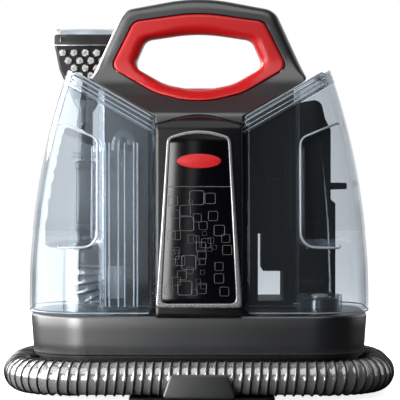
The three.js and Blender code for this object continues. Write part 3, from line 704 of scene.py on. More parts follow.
def base_housing():
    outline = oblong(-BASE_HALF, -78, BASE_HALF, 74, 50, 22)
    into = inward(outline)

    def ring(z, inset):
        scale = 1 - (DECK - z) / (DECK - BASE_FOOT) * BASE_DRAFT / BASE_HALF
        flat = outline + into * inset
        return in_metres([(x * scale, BASE_MIDDLE_Y + (y - BASE_MIDDLE_Y) * scale, z) for x, y in flat])

    outside = [(38, 3), (38, 0.7), (38.25, 0.2), (38.8, 0), (48, 0), (60, 0), (69.5, 0), (70.6, 0.25),
               (71.4, 0.8), (71.9, 1.7), (72, 2.8)]
    inside = [(69, 3), (37.9, 3.02)]
    shell = loft("base_housing_shell", [ring(z, inset) for z, inset in outside], CHARCOAL)
    hollow = loft("cutter", [ring(z, inset) for z, inset in reversed(inside)], BLACK)
    ports = [plain_rod(radius, (x, y, 60), 20) for x, y, radius in (
        (-74, -25, 7), (-62, -6, 7), (108, -14, 9.3), (0, 31, 20))]
    carve(shell, [hollow] + ports)
    joined_to(shell, MACHINE, "charcoal_housing", "base_housing")


def small_screw(radius):
    """A pan head with a cross recess, standing along +Z, head outwards."""
    head = round_piece("part", (0, 0, 0), "z", [
        (0, -2), (radius * 0.5, -2), (radius * 0.5, 0), (radius, 0), (radius, 0.9), (radius * 0.86, 1.6),
        (radius * 0.5, 2.0), (0, 2.05)], STEEL, 28)
    reach = radius * 0.55
    slots = []
    for turn in (0, math.pi / 2):
        slot = slab("cutter", oblong(-reach, -0.4, reach, 0.4), plan_place, STEEL, 0.9, 3, rim=0.02, steps=1)
        slot.data.transform(Matrix.Rotation(turn, 4, "Z"))
        slots.append(slot)
    return carve(head, slots)


def screw_set(name, spots, radius, turn, seed):
    """Four screws at spots (mm), which stand for the CAD's numbered ones."""
    places = [tuple(c * MM for c in spot) for spot in spots]
    screws = scattered(f"{name}s", places, small_screw(radius), STEEL, turns=[turn] * 4, turn_spread=1.5,
                       seed=seed)
    joined_to(screws, MACHINE, "steel", *[f"{name}_{i + 1}" for i in range(4)])


def base_parts():
    refined("base_plate", BLACK, "black_housing", width=1.0)
    for end, y in (("front", -44), ("rear", 44)):
        for side, x in (("left", -112), ("right", 112)):
            foot = round_piece(f"rubber_foot_{end}_{side}", (x, y, 0), "z", [
                (0, 0), (7.6, 0), (8.6, 0.3), (9, 1), (9, 2.4), (8.8, 2.65), (0, 2.65)], RUBBER)
            joined_to(foot, MACHINE, "rubber", f"foot_{end}_{side}")
    spots = [(-118, -20, 2.4), (118, -20, 2.4), (-118, 20, 2.4), (118, 20, 2.4)]
    screw_set("base_screw", spots, 4, (math.pi, 0, 0), 4)
    outline = rounded([(-32, 3, 3), (32, 3, 3), (24.5, 24.4, 4), (-24.5, 24.4, 4)], 8)
    clip = slab("hose_clip_cover", outline, front_place, CHARCOAL, -107, -103.4, rim=1.6, steps=5)
    joined_to(clip, MACHINE, "charcoal_housing", "hose_clip")
    refined("hose_port", CHARCOAL, "charcoal_housing", width=1.2)


# ---------------------------------------------------------------- front column and its panel

PANEL_LEAN = math.atan(7.7 / 167)
COLUMN_FRONT = -88
COLUMN_BACK = 12


def side_depth(corners, steps=12):
    """A function that gives the depth at (a, b) of a side outline with corners (y, z, radius)."""
    below = (corners[0][0], corners[0][1] - 50)
    above = (corners[-1][0], corners[-1][1] + 50)
    shape = rounded([below, *corners, above], steps)
    order = np.argsort(shape[:, 1], kind="stable")
    heights, depths = shape[order, 1], shape[order, 0]

    def depth(a, b):
        return float(np.interp(b, heights, depths))

    return depth


def front_column():
    front = side_depth([(-88, 72.35), (-80.4, 234, 10), (-78.2, 241, 5), (-66.3, 247.4, 4)])
    outline = evenly(rounded(both_sides([(0, 247.5, 60), (37.3, 237.5, 3), (37.3, 72.35)]), 24), 420)

    def place(a, b, depth):
        share = (COLUMN_BACK - depth) / (COLUMN_BACK - COLUMN_FRONT)
        return (a, COLUMN_BACK - (COLUMN_BACK - front(a, b)) * share, b)

    column = slab("front_column", outline, place, COLUMN, COLUMN_FRONT, COLUMN_BACK, rim=2.4, steps=6)
    joined_to(column, MACHINE, "charcoal_housing", "front_cover")


def on_panel(points):
    """Panel points (x, depth, height above the deck) in mm, moved to the leaning face, in metres."""
    turn = Matrix.Rotation(-PANEL_LEAN, 3, "X")
    return in_metres([tuple(turn @ Vector(p) + Vector((0, COLUMN_FRONT, DECK))) for p in points])


def crowned(foot, foot_half, head_half, head, crown, corner_head, corner_foot):
    corners = both_sides([(0, crown, 60), (head_half, head, corner_head), (foot_half, foot, corner_foot)])
    return rounded(corners, 14)


BEZEL = (7.7, 36.9, 27.4, 154.5, 163.5, 6, 3)
INSERT = (11.6, 32.2, 25, 152.5, 159, 5, 5)


def polar(outline, centre, angles):
    """Distance from the centre to the outline along each angle."""
    moved = outline - np.array(centre)
    bearings = np.unwrap(np.arctan2(moved[:, 1], moved[:, 0]))
    if bearings[-1] < bearings[0]:
        bearings, moved = bearings[::-1], moved[::-1]
    radii = np.linalg.norm(moved, axis=1)
    x = np.r_[moved[:, 0], moved[0, 0]]
    z = np.r_[moved[:, 1], moved[0, 1]]
    turned = np.r_[bearings, bearings[0] + 2 * math.pi]
    result = []
    for angle in angles:
        wrapped = bearings[0] + (angle - bearings[0]) % (2 * math.pi)
        i = min(np.searchsorted(turned, wrapped, side="right") - 1, len(radii) - 1)
        ax, az, bx, bz = x[i], z[i], x[i + 1], z[i + 1]
        c, s = math.cos(angle), math.sin(angle)
        cross = c * (bz - az) - s * (bx - ax)
        result.append((ax * (bz - az) - az * (bx - ax)) / cross if abs(cross) > 1e-9 else radii[i])
    return np.array(result)


def ring_body(name, outer, inner, centre, front, back, rims, material, place, count, across, steps=7,
              seam=None):
    """A ring-shaped body between two outlines. front and back give its depth at (a, b). rims are the rounding
    radii of its outer and inner edges; the outer one may be a function of b. seam is the depth of a parting
    groove on its outer wall."""
    angles = np.linspace(0, 2 * math.pi, count, endpoint=False) + 1e-4
    far = polar(outer, centre, angles)
    near = polar(inner, centre, angles)
    direction = np.stack([np.cos(angles), np.sin(angles)], 1)
    outer_rim, inner_rim = rims
    if callable(outer_rim):
        outer_rim = np.array([outer_rim(centre[1] + reach * way[1]) for reach, way in zip(far, direction)])
    else:
        outer_rim = np.full(count, float(outer_rim))
    width = np.clip(far - near - outer_rim - inner_rim, 0.1, None)

    def row(radius, depth, sink):
        flat = np.array(centre) + direction * radius[:, None]
        return [place(a, b, depth(a, b) + s) for (a, b), s in zip(flat, np.broadcast_to(sink, (count,)))]

    def edge(wall, rim, depth, sign, turns):
        """Rows round one edge; its rim is positive at the inner wall and negative at the outer one."""
        lift = sign * np.abs(rim)
        return [row(wall + rim * (1 - math.cos(t)), depth, lift * (1 - math.sin(t))) for t in turns]

    quarter = [math.pi / 2 * k / steps for k in range(steps + 1)]
    shares = [k / across for k in range(1, across)]
    rows = edge(near, inner_rim, front, 1, quarter)
    rows += [row(near + inner_rim + width * share, front, 0) for share in shares]
    rows += edge(far, -outer_rim, front, 1, quarter[::-1])
    if seam:
        for depth, inset in ((-0.7, 0), (-0.3, seam), (0.3, seam), (0.7, 0)):
            rows.append(row(far - inset, flat_depth(depth), 0))
    rows += edge(far, -outer_rim, back, -1, quarter)
    rows += [row(far - outer_rim - width * share, back, 0) for share in shares]
    rows += edge(near, inner_rim, back, -1, quarter[::-1])
    return loft(name, [in_metres(r) for r in rows], material, sharp=50, closed=True)


def flat_depth(value):
    return lambda a, b: value


def front_panel():
    def place(a, b, depth):
        return tuple(on_panel([(a, depth, b)])[0] / MM)

    bezel = ring_body(
        "silver_bezel", crowned(*BEZEL), crowned(*INSERT), (0, 85), flat_depth(-3.1), flat_depth(-0.35),
        (1.1, 0.9), SILVER, place, count=520, across=4)
    joined_to(bezel, MACHINE, "silver_trim", "panel_bezel")
    insert = slab("gloss_insert", crowned(*INSERT), place, GLOSS_BLACK, -1.9, -0.35, rim=0.3, steps=2)
    joined_to(insert, MACHINE, "panel_black", "panel_insert")
    line = slab("panel_divider", oblong(-29.2, 111.6, 29.2, 112.3), place, GREY_PRINT, -2.15, -1.8, rim=0.12,
                steps=2)
    joined_to(line, MACHINE, "silver_trim")
    turns = np.linspace(0, 2 * math.pi, 96)[:-1]
    badge_outline = np.stack([19 * np.cos(turns), 134 + 6.2 * np.sin(turns)], 1)
    badge = slab("plain_badge", badge_outline, place, RED, -2.5, -1.8, rim=0.5)
    joined_to(badge, MACHINE, "red_grip")
    printed_squares()


def printed_squares():
    """Rounded-square outlines strewn over the lower part of the insert, thicker on the left."""
    seeded = random.Random(7)
    places, sizes, kept = [], [], []
    while len(places) < 46:
        height = seeded.uniform(18, 103)
        half = 30.5 - (height - 18) * 0.05
        across = seeded.uniform(-half, half)
        size = seeded.choice((3.6, 5, 5.6, 7, 7.6, 8, 9, 12))
        sparse = across > 4 and height > 76
        crowd = [s for s in kept if math.hypot(s[0] - across, s[1] - height) < 0.5 * (s[2] + size) * 0.72]
        if abs(across) + size / 2 > half:
            continue
        if (crowd and seeded.random() < 0.85) or (sparse and seeded.random() < 0.8):
            continue
        kept.append((across, height, size))
        places.append(tuple(on_panel([(across, -1.93, height)])[0]))
        sizes.append(size)
    line = flat_line(oblong(-0.5, -0.5, 0.5, 0.5, 0.14, 4), 0)
    part = swept("part", line, 0.026 * MM, 6, GREY_PRINT, closed=True)
    squares = scattered("printed_squares", places, part, GREY_PRINT, sizes=sizes,
                        turns=[(-PANEL_LEAN, 0, 0)] * len(places), seed=3)
    joined_to(squares, MACHINE, "silver_trim")


# ---------------------------------------------------------------- upper housing and grip

HUB = (0, 295)
LID_SLOPE = math.tan(math.pi / 6)
GRIP_STEP = 1.4


def lid_line(x):
    return 242.7 + (abs(x) - 36) * LID_SLOPE


def upper_outline():
    right = [(67.8, 340.4, 17), (95.6, 279.6, 2.5), (94, lid_line(94) + 0.9, 0.6),
             (37.8, lid_line(37.3) + 1.2, 0.5), (37.8, 238.1, 0.5), (34, 239, 1)]
    left = [(-x, z, r) for x, z, r in reversed(right)]
    return rounded([(0, 352.95, 150)] + right + [(0, 248.1, 60)] + left, 16)


def ring_outline(corners):
    return rounded(both_sides(corners), 18)


RING_CORNERS = [(0, 338, 150), (58, 330, 11), (78.5, 289, 8), (38, 265.6, 50), (0, 256.4, 90)]
CLEAR_CORNERS = [(0, 338.5, 150), (58.4, 330.5, 11), (79.1, 288.8, 8), (38.2, 265.0, 50), (0, 255.8, 90)]
HOLE_CORNERS = [(0, 321.6, 150), (47.5, 314.5, 10), (58.4, 290, 9), (30, 273.6, 50), (0, 267.6, 70)]


def upper_housing():
    front = side_depth([(-66, 236), (-66, 246.5, 7), (-44, 263, 30), (-22, 284, 40), (-19.6, 352)], 16)
    back = side_depth([(76, 236), (76, 250, 6), (48, 268, 30), (22, 290, 40), (19.6, 352)], 16)

    def outer_rim(b):
        return 1 + 8 * smoothstep(b, 274, 290)

    housing = ring_body(
        "upper_housing", upper_outline(), ring_outline(CLEAR_CORNERS), HUB, front, back,
        (outer_rim, 0.8), CHARCOAL, front_place, count=640, across=14, seam=0.5)
    joined_to(housing, MACHINE, "charcoal_housing", "upper_housing_front", "upper_housing_rear")
    ring = ring_body(
        "red_grip", ring_outline(RING_CORNERS), ring_outline(HOLE_CORNERS), HUB,
        lambda a, b: front(a, b) - GRIP_STEP, lambda a, b: back(a, b) + GRIP_STEP,
        (3.0, 8.0), RED, front_place, count=560, across=6)
    joined_to(ring, MACHINE, "red_grip", "grip_ring")
    outline = rounded([(-10.5, 265, 1), (-10.5, 270.4, 2), (0, 271.4, 30), (10.5, 270.4, 2),
                       (10.5, 265, 1)], 8)
    rocker = slab("power_rocker", outline, side_place, RED, -16.5, 16.5, rim=2.2, steps=5)
    joined_to(rocker, "power_switch", "red_grip", "power_switch")
    refined("switch_body", BLACK, "black_housing", width=0.4)


# ---------------------------------------------------------------- tanks

TANK_PLAN = [(38, -75, 5), (150.8, -75, 50), (150.8, 70, 38), (89, 70, 5), (89, 10, 4), (38, 10, 4)]
TANK_WALL = 2.2
LID_DEPTH = 16.2
LID_BREAK = 107
LEAN_FOOT = 73
LEAN_HEIGHT = 208
LEAN_START = 92
LEAN_REACH = 58.8
LEAN_IN = 32.4
FOOT_CHAMFER = 117.3
RECESS_FLOOR = -57
RECESS_EDGE = 86


def lean(x, y, z):
    """The tank walls lean in towards the top, the outer one most."""
    share = max(0, (z - LEAN_FOOT) / LEAN_HEIGHT)
    over = abs(x) - LEAN_START
    if over > 0:
        over *= 1 - LEAN_IN * share ** 2.17 / LEAN_REACH
        x = math.copysign(LEAN_START + over, x)
    return x, y * (1 - 0.2 * share ** 2)


def settled(x, y, height):
    """The leaned point whose height depends on its own leaned x."""
    z = height(abs(x))
    for _ in range(12):
        px, _ = lean(x, y, z)
        z = height(abs(px))
    px, py = lean(x, y, z)
    return px, py, z


def smoothstep(value, low, high):
    t = min(1, max(0, (value - low) / (high - low)))
    return t * t * (3 - 2 * t)


def recess_share(x, z):
    """How far a front-wall point has sunk into the finger recess, from 0 outside it to 1 on its floor."""
    top = 225 + (x - RECESS_EDGE) * 0.41
    gaps = (x - RECESS_EDGE, min(z - 130, top - z))
    corner = 10
    if min(gaps) < -8:
        return 0
    inside = corner - math.hypot(*[max(0, corner - gap) for gap in gaps])
    return smoothstep(inside, 0, 7.5)


def tank_plan(side, inset=0.0, count=360):
    corners = [(side * x, y, r) for x, y, r in TANK_PLAN]
    outline = evenly(rounded(corners, 24), count)
    return outline + inward(outline) * inset


def tank_point(x, y, share, side, inset, foot):
    """A wall point: share 0 at the floor to 1 at the lid line."""
    _, _, z_top = settled(x, y, lambda reach: lid_line(reach) - LID_DEPTH - 0.35)
    z = foot + (z_top - foot) * share
    px, py = lean(x, y, z)
    ax = abs(px)
    corner = FOOT_CHAMFER + inset * 1.414
    if ax + z < corner:
        ax = corner - z
    if py < -50 and ax > RECESS_EDGE - 10:
        floor = RECESS_FLOOR + inset
        if py < floor:
            py += (floor - py) * recess_share(ax + inset, z)
    return side * ax, py, z


def tank_shell(side, name):
    outer = tank_plan(side)
    inner = tank_plan(side, TANK_WALL)
    shares = [k / 110 for k in range(111)]
    rows = []
    for foot, inset in ((72.4, 2.2), (72.55, 1.3), (73.0, 0.5), (73.7, 0.1)):
        rows.append([tank_point(x, y, 0, side, inset, foot) for x, y in tank_plan(side, inset)])
    rows += [[tank_point(x, y, share, side, 0, 74.4) for x, y in outer] for share in shares]
    rows += [[tank_point(x, y, share, side, TANK_WALL, 75.4) for x, y in inner] for share in reversed(shares)]
    last = TANK_WALL + 0.8
    rows.append([tank_point(x, y, 0, side, last, 74.9) for x, y in tank_plan(side, last)])
    return loft(name, [in_metres(r) for r in rows], CLEAR, sharp=60)


def lid_top(x, lift=0.0):
    """The shoulder line, which drops at the outer end."""
    return min(lid_line(x), lid_line(LID_BREAK) - (x - LID_BREAK) * 0.3 + lift)


def tank_loop(side, inset, height, count=360):
    """A loop round the tank (metres) whose height depends on each point's leaned x."""
    return in_metres([settled(x, y, height) for x, y in tank_plan(side, inset, count)])


def tank_lid(side, name):
    """A clear cap with flange lines round it, hollow inside; its top follows the shoulder line."""

    def row(rise, inset, share=0.0):
        def height(reach):
            low = lid_line(reach) - LID_DEPTH
            return low + rise + share * (lid_top(reach) - low)

        return tank_loop(side, inset, height)

    outside = [(0.0, 1.0), (0.1, -0.4), (0.5, -0.8), (2.6, -0.8), (3.1, -0.3), (3.6, 0.3), (4.8, 0.3),
               (5.2, -0.1), (5.6, -0.5), (6.6, -0.5), (7.0, -0.1), (7.4, 0.25), (10.4, 0.25), (10.8, -0.1),
               (11.4, -0.1), (11.8, 0.2), (13.8, 0.2)]
    crown = [(-1.7, 0.25), (-0.7, 0.7), (-0.15, 1.5), (0, 2.6), (0, 4.5), (0, 7.5)]
    rows = [row(rise, inset) for rise, inset in outside] + [row(rise, inset, 1) for rise, inset in crown]
    shell = loft(name, rows, CLEAR_LID)
    under = [row(rise, inset) for rise, inset in ((-3, 2.4), (3, 2.4), (8, 2.4))]
    for rise, inset in ((12.5, 2.5), (13.4, 3.0), (13.6, 4.2)):
        under.append(tank_loop(side, inset, lambda reach: lid_top(reach, 0.2) - LID_DEPTH + rise))
    return carve(shell, [loft("cutter", under, CLEAR_LID)])


def front_wall(x, z):
    """The depth of the unsunk front wall at a place across (counted outwards) and a height."""
    wall = sorted(lean(px, py, z)[:2] for px, py in tank_plan(1) if py < -20 and px > 45)
    return float(np.interp(x, [p[0] for p in wall], [p[1] for p in wall]))


def moulded_edges(side, name):
    """The thick edges of the clear walls: the recess border, the lid flanges and the foot, as opaque beads
    whose colour is painted highlight and shade.
    """
    border = evenly(rounded([(122, 239.5, 1), (88, 225.5, 9), (88, 131.5, 13), (122, 130.5, 1)], 10), 260)
    border = [p for p in border if not (p[0] > 121.5 and 133 < p[1] < 238)]
    start = max(range(len(border)), key=lambda k: math.dist(border[k], border[k - 1]))
    border = border[start:] + border[:start]
    bead = [(side * x * MM, (front_wall(x, z) + 0.7) * MM, z * MM) for x, z in border]
    parts = [swept(name, bead, 1.05 * MM, 8, PAINTED_EDGE_LINES)]
    for rise, inset, radius in ((3.1, 0.1, 0.45), (7.0, 0.2, 0.4), (11.4, 0.3, 0.4)):
        loop = tank_loop(side, inset, lambda reach: lid_line(reach) - LID_DEPTH + rise, 240)
        parts.append(swept(name, loop, radius * MM, 6, PAINTED_EDGE_LINES, closed=True))
    loop = tank_loop(side, 0.9, lambda reach: lid_top(reach) - 0.6, 240)
    parts.append(swept(name, loop, 0.5 * MM, 6, PAINTED_EDGE_LINES, closed=True))
    foot = [tank_point(x, y, 0, side, 0.6, 74.2) for x, y in tank_plan(side, 0.6, 240)]
    parts.append(swept(name, in_metres(foot), 0.6 * MM, 6, PAINTED_EDGE_LINES, closed=True))
    return parts


def seal_ring(side, name):
    rows = []
    for rise, inset in ((0.4, 2.7), (3.0, 2.7), (3.0, 4.4), (0.4, 4.4)):
        rows.append(tank_loop(side, inset, lambda reach: lid_line(reach) - LID_DEPTH + rise))
    return loft(name, rows, CLEAR_STACK, closed=True)


def tanks():
    inlets = [plain_rod(6, (-74, -25, 60), 30), plain_rod(6, (-62, -6, 60), 30)]
    dirty = carve(tank_shell(-1, "dirty_tank_wall"), inlets)
    joined_to(dirty, "dirty_tank", "clear_tank", "dirty_tank")
    joined_to(tank_lid(-1, "dirty_tank_cap"), "dirty_tank", "clear_tank", "dirty_tank_lid")
    joined_to(seal_ring(-1, "dirty_seal"), "dirty_tank", "clear_tank", "dirty_lid_seal")
    clean = carve(tank_shell(1, "clean_tank_wall"), [plain_rod(17, (108, -14, 60), 30)])
    joined_to(clean, "clean_tank", "clear_tank", "clean_tank")
    collar = round_piece("outlet_collar", (108, -14, 72.6), "z", [
        (17, 0), (20, 0), (20, 13), (19.4, 14), (17.4, 14), (17, 13.6)], CLEAR_STACK, 48)
    joined_to(collar, "clean_tank", "clear_tank")
    joined_to(tank_lid(1, "clean_tank_top"), "clean_tank", "clear_tank", "clean_tank_lid")
    joined_to(seal_ring(1, "clean_seal"), "clean_tank", "clear_tank", "clean_lid_seal")
    for side, body in ((-1, "dirty_tank"), (1, "clean_tank")):
        for index, edge in enumerate(moulded_edges(side, body + "_edge")):
            edge.name = f"{body}_edge_{index + 1}"
            joined_to(edge, body, "clear_tank")
    refined("clean_tank_cap", CHARCOAL, "charcoal_housing", width=0.6)
    poppet = round_piece("valve_stem", (108, -14, 72.4), "z", [
        (0, 0.6), (3.6, 0.6), (4, 1), (4, 11.3), (7.2, 11.4), (7.5, 11.8), (7.5, 13.6), (5, 14.6),
        (0, 15)], WHITE, 36)
    joined_to(poppet, "valve", "white_plastic", "valve_poppet")
    refined("supply_grommet", RUBBER, "rubber", width=0.3)


# ---------------------------------------------------------------- intake stack and float


def intake_stack():
    refined("intake_stack", CLEAR_STACK, "clear_tank", width=1.2, segments=4, body="dirty_tank")
    refined("float_block", WHITE, "white_plastic", width=1.5)
    low, high = (np.array(corner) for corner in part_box("intake_stack"))
    # Thin beads down the stack's face in the edge colour: painted highlight lines.
    for index, share in enumerate((0.05, 0.16, 0.42, 0.6, 0.86, 0.96)):
        x = low[0] + (high[0] - low[0]) * share
        line = [(x, low[1] - 0.0003, z) for z in np.linspace(low[2] + 0.002, high[2] - 0.012, 30)]
        rib = swept(f"stack_rib_{index + 1}", line, 0.0008, 8, PAINTED_EDGE_LINES)
        joined_to(rib, "dirty_tank", "clear_tank")


# ---------------------------------------------------------------- rear cover, grille and hooks


def rear_parts():
    refined("rear_cover", BLACK, "black_housing", width=1.6)
    outline = rounded([(80, 226, 2), (96, 226, 2), (96, 262, 4), (82, 256, 4)], 4)
    shoulder = slab("post_shoulder", outline, front_place, BLACK, 76.6, 96, rim=1.2, steps=3)
    joined_to(shoulder, MACHINE, "black_housing")
    rim = ring_body(
        "grille_frame", oblong(-37, 93, 37, 139, 4, 8), oblong(-31, 98.5, 31, 133.5, 3, 8), (0, 116),
        flat_depth(73.3), flat_depth(78), (0.6, 0.8), BLACK, front_place, count=260, across=3, steps=3)
    joined_to(rim, MACHINE, "black_housing", "exhaust_grille")
    part = slab("part", oblong(73.6, -1.2, 77.8, 1.2, 1, 4), side_place, BLACK, -31.6, 31.6, rim=0.2, steps=1)
    bars = scattered("grille_bars", [(0, 0, z * MM) for z in np.linspace(103, 129, 5)], part, BLACK, seed=5)
    joined_to(bars, MACHINE, "black_housing")
    refined("exhaust_filter", FOAM, "filter_foam", width=1)
    gland = round_piece("cord_boot", (100, 98, 88), "y", [
        (3.6, -6), (6, -6), (6, 0.4), (8, 0.5), (8, 2.6), (7.4, 3.2), (5.8, 4), (6.2, 4.6), (6.2, 5.4),
        (5.4, 6), (5.7, 6.5), (5.7, 7.2), (5, 8.6), (3.6, 8.6)], RUBBER, 36)
    joined_to(gland, MACHINE, "rubber", "cord_gland")
    spots = [(-70, 76.2, 90), (70, 98.2, 128), (-70, 76.2, 225), (70, 98.2, 228)]
    screw_set("cover_screw", spots, 3.7, (-math.pi / 2, 0, 0), 9)
    refined("upper_cord_hook", BLACK, "black_housing", width=0.8)
    refined("lower_cord_hook", BLACK, "black_housing", width=0.8)
    outline = rounded([(60, 190, 6), (77, 190, 3), (77, 224, 8), (60, 224, 8)])
    capsule = swept("cover_pocket_rim", flat_line(outline, 11.8), 0.8 * MM, 8, CHARCOAL, closed=True)
    joined_to(capsule, MACHINE, "black_housing")


# ---------------------------------------------------------------- hand tool

TOOL_X, TOOL_Y = -107, 91.8


def tool_outline(half, low, high, corner, steps):
    """A rounded rectangle about the tool's axis."""
    return oblong(TOOL_X - half, low, TOOL_X + half, high, corner, steps)


def tool_mouth():
    """The cutter for the suction slot."""
    return slab("cutter", tool_outline(25, TOOL_Y + 4, TOOL_Y + 10, 1, 3), plan_place, CHARCOAL, 300, 331,
                rim=0.05, steps=1)


def hand_tool():
    stations = [
        (109, 5, 5, 4.9), (110, 6, 6, 5.9), (128.6, 6, 6, 5.9), (129, 7.4, 7.8, 3), (129.6, 8, 8.5, 3),
        (137, 8, 8.5, 3), (139.6, 8.4, 9, 3.4), (140.4, 9.2, 10, 4), (146, 9.2, 10.5, 4), (147, 8.6, 9.9, 4),
        (148, 9.2, 10.5, 4), (170, 9.0, 10.2, 4), (196, 9.2, 10.5, 4), (198.6, 9.3, 10.7, 4),
        (199.4, 10, 11.2, 4), (204, 10, 11.2, 4), (205, 9.2, 10.4, 4), (206, 6.9, 7.5, 3),
        (225, 6.6, 7.2, 3), (258, 6.6, 7.2, 3)]
    rings = []
    for z, half_x, half_y, corner in stations:
        flat = tool_outline(half_x, TOOL_Y - half_y, TOOL_Y + half_y, corner, 7)
        rings.append(in_metres([(x, y, z) for x, y in flat]))
    joined_to(loft("tool_grip", rings, CHARCOAL, sharp=35), "hand_tool", "charcoal_housing", "tool_body")
    shell = rounded([(TOOL_X + x, z, r) for x, z, r in both_sides(
        [(-6.6, 252, 3), (-12, 262, 4), (-25, 292, 8), (-29.6, 314, 4), (-29.6, 322, 1)])], 8)
    head = slab("tool_head", shell, front_place, CHARCOAL, TOOL_Y + 1, TOOL_Y + 13, rim=2.2)
    carve(head, [tool_mouth()])
    joined_to(head, "hand_tool", "charcoal_housing")
    lip = slab("clear_nozzle", tool_outline(29.2, TOOL_Y - 5.4, TOOL_Y + 13, 4, 8), plan_place, CLEAR_STACK,
               322.5, 330, rim=1.4, steps=5)
    carve(lip, [tool_mouth()])
    joined_to(lip, "hand_tool", "clear_tank", "tool_nozzle")
    brush_plate()
    refined("tool_trigger", BLACK, "black_housing", width=0.5)
    tip = round_piece("spray_jet", (TOOL_X, TOOL_Y - 15.6, 238), "y", [
        (1.2, 0), (2.6, 0), (3.2, 0.6), (4.6, 4), (4.6, 8), (1.2, 8), (0.8, 3)], BLACK, 30)
    joined_to(tip, "hand_tool", "black_housing", "spray_tip")
    holder()


def holder():
    """A slim clip behind the grip: two prongs on a back plate."""
    outline = rounded([(-119.6, 97, 1), (-116.6, 97, 1), (-116.6, 80.4, 2), (-97.4, 80.4, 2), (-97.4, 97, 1),
                       (-94.4, 97, 1), (-94.4, 76.5, 1), (-119.6, 76.5, 1)], 5)
    clip = slab("tool_holder_clip", outline, plan_place, CLEAR_STACK, 208.5, 214, rim=0.8, steps=3)
    joined_to(clip, MACHINE, "charcoal_housing", "tool_holder")
    bridge = slab("tool_holder_bridge", oblong(-96, 208.5, -62, 214, 1, 3), front_place, CLEAR_STACK,
                  76.4, 79, rim=0.6, steps=2)
    joined_to(bridge, MACHINE, "charcoal_housing")


def brush_plate():
    front = TOOL_Y - 6
    outline = rounded([(TOOL_X + x, z, r) for x, z, r in (
        (-11, 264, 3), (11, 264, 3), (24.6, 292, 8), (28.9, 314, 4), (28.9, 322, 1.5), (-28.9, 322, 1.5),
        (-28.9, 314, 4), (-24.6, 292, 8))], 8)
    plate = slab("brush_plate", outline, front_place, BLACK, front, TOOL_Y + 0.65, rim=0.8, steps=3)
    joined_to(plate, "hand_tool", "black_housing", "tool_brush")
    border = flat_line(outline + inward(outline) * 1.5, front - 0.1)
    edge = swept("brush_edge", border, 0.5 * MM, 8, GREY_PRINT, closed=True)
    joined_to(edge, "hand_tool", "silver_trim")
    band_outline = rounded([(TOOL_X - 29.3, 315.6, 1), (TOOL_X + 29.3, 315.6, 1), (TOOL_X + 29.3, 325, 2.4),
                            (TOOL_X - 29.3, 325, 2.4)], 6)
    band = slab("brush_band", band_outline, front_place, BAND, front - 2.2, front + 0.4, rim=0.7, steps=3)
    notch = slab("cutter", oblong(-130.2, 318.2, -124.8, 323, 0.3), front_place, BAND, front - 5, front - 0.8,
                 rim=0.05, steps=1)
    carve(band, [notch])
    joined_to(band, "hand_tool", "black_housing")
    border = flat_line([(-130.6, 318), (-130.6, 323.3), (-124.6, 323.3)], front - 2.2)
    corner = swept("band_notch_edge", border, 0.4 * MM, 8, SILVER)
    joined_to(corner, "hand_tool", "silver_trim")
    line = slab("brush_line", tool_outline(29.4, 314.2, 315.5, 0.4, 3), front_place, SILVER, front - 2.0,
                front + 0.4, rim=0.35, steps=2)
    joined_to(line, "hand_tool", "silver_trim")
    bristle_tufts(front)


def bristle_tufts(front):
    """Splayed nylon bristles in tufts: five, four, three and two to a row."""
    seeded = random.Random(11)
    centres = []
    for count, height in ((5, 307.5), (4, 300), (3, 293), (2, 286)):
        centres += [(TOOL_X + (i - (count - 1) / 2) * 10.6, height) for i in range(count)]
    places, turns, sizes = [], [], []
    golden_angle = 2.39996
    for x, z in centres:
        for k in range(64):
            distance = 1.7 * math.sqrt((k + 0.5) / 64)
            angle = k * golden_angle
            across, up = math.cos(angle), math.sin(angle)
            splay = 0.14 * distance + seeded.uniform(-0.07, 0.07)
            places.append(((x + distance * across) * MM, (front + 0.2) * MM, (z + distance * up) * MM))
            aim = Vector((across * math.tan(splay), -1, up * math.tan(splay)))
            turns.append(tuple(aim.to_track_quat("Z", "Y").to_euler()))
            sizes.append(seeded.uniform(0.88, 1.0))
    part = round_piece("part", (0, 0, 0), "z", [
        (0, 0), (0.3, 0), (0.32, 5.6), (0.2, 7.4), (0, 7.7)], NYLON, 6)
    tufts = scattered("brush_tufts", places, part, NYLON, sizes=sizes, turns=turns, seed=12)
    joined_to(tufts, "hand_tool", "white_plastic")


# ---------------------------------------------------------------- drive parts inside


def drive_parts():
    """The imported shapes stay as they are, in their own materials."""
    black = ("fan_housing", "supply_tube", "spray_tube", "inlet_duct", "suction_duct")
    steel = ("fan_rotor", "motor_body", "pump_plunger")
    for material, names in ((BLACK, black), (STEEL, steel), (CHARCOAL, ("pump_body",))):
        for name in names:
            mesh = frame["nodes"][name].data
            mesh.materials.clear()
            mesh.materials.append(material)


make_hose()
base_housing()
base_parts()
front_column()
front_panel()
upper_housing()
tanks()
intake_stack()
rear_parts()
hand_tool()
drive_parts()


# ---------------------------------------------------------------- studio


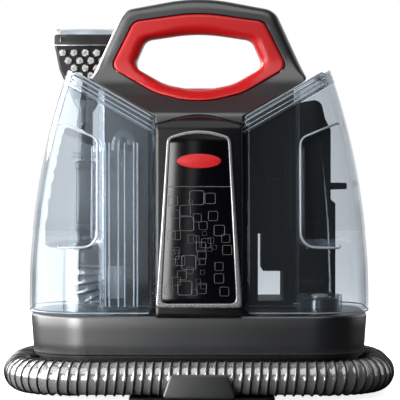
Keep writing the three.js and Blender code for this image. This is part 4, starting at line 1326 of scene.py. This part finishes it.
def make_floor():
    """White to the camera; dim to everything else, so that it doesn't light the front from below."""
    material, tree = new_material("studio_floor")
    speck = noise(tree, 6, 3, 0.5)
    seen = node(tree, "ShaderNodeLightPath", output="Is Camera Ray")
    bright = node(tree, "ShaderNodeBsdfPrincipled", {}, {
        "Base Color": ramp(tree, speck, [(0.3, (0.9, 0.9, 0.9)), (0.7, (0.93, 0.93, 0.93))]),
        "Roughness": 0.6, "Emission Color": (1, 1, 1), "Emission Strength": 0.85})
    dim = node(tree, "ShaderNodeBsdfDiffuse", {}, {"Color": (0.04, 0.04, 0.04)})
    close_tree(tree, node(tree, "ShaderNodeMixShader", {}, {0: seen, 1: dim, 2: bright}))
    outline = [(x, y, 0) for x, y in oblong(-4, -4, 4, 4)]
    floor = mesh_piece("studio_floor", outline, [(0, 1, 2, 3)], material, smooth=False)


def make_world():
    """White to the camera; to everything else a studio, bright on the left and behind, dark on the right."""
    world = bpy.data.worlds.new("studio")
    bpy.context.scene.world = world
    world.use_nodes = True
    tree = world.node_tree
    tree.nodes.clear()
    place = node(tree, "ShaderNodeTexCoord", output="Generated")
    across, away, up = (node(tree, "ShaderNodeSeparateXYZ", {}, {0: place}, output=axis) for axis in "XYZ")
    left = (across * -1).limited() ** 2
    behind = (away * 1.2).limited() ** 2
    overhead = ((up - 0.35) * 1.2).limited()
    facing = ((away + 0.8) * -8).limited()
    band = ((up + 0.2) * 12).limited() * ((0.42 - up) * 8).limited()
    front_left = (across * -16).limited() * ((across + 0.17) * 16).limited() * facing * band
    level = left * 0.5 + behind * 0.8 + overhead * 0.03 + front_left * 1.8 + 0.003
    seen = node(tree, "ShaderNodeLightPath", output="Is Camera Ray")
    straight = node(tree, "ShaderNodeBackground", {}, {"Color": (1, 1, 1), "Strength": 1.0})
    lit = node(tree, "ShaderNodeBackground", {}, {"Color": (1, 1, 1), "Strength": level})
    mixed = node(tree, "ShaderNodeMixShader", {}, {0: seen, 1: lit, 2: straight})
    close_tree(tree, mixed, "ShaderNodeOutputWorld")


make_floor()
make_world()
soft_box("beam_low_left", (-0.5, -0.6, 0.14), (-0.22, 0, 0.07), (0.56, 0.42), 0.82, spread=39)
soft_box("fill_top", (-0.25, -0.65, 1.2), (0, 0, 0.25), (2.0, 1.2), 12)
soft_box("wall_left", (-0.85, -0.14, 0.26), (0, 0, 0.16), (1.2, 0.75), 19)
soft_box("strip_back_left", (-0.6, 0.6, 0.6), (-0.1, 0, 0.25), (0.3, 0.6), 9)
soft_box("side_right", (0.9, 0.35, 0.4), (0.1, 0, 0.18), (0.8, 0.8), 1.2)
bpy.context.scene.view_settings.view_transform = "Standard"

import json
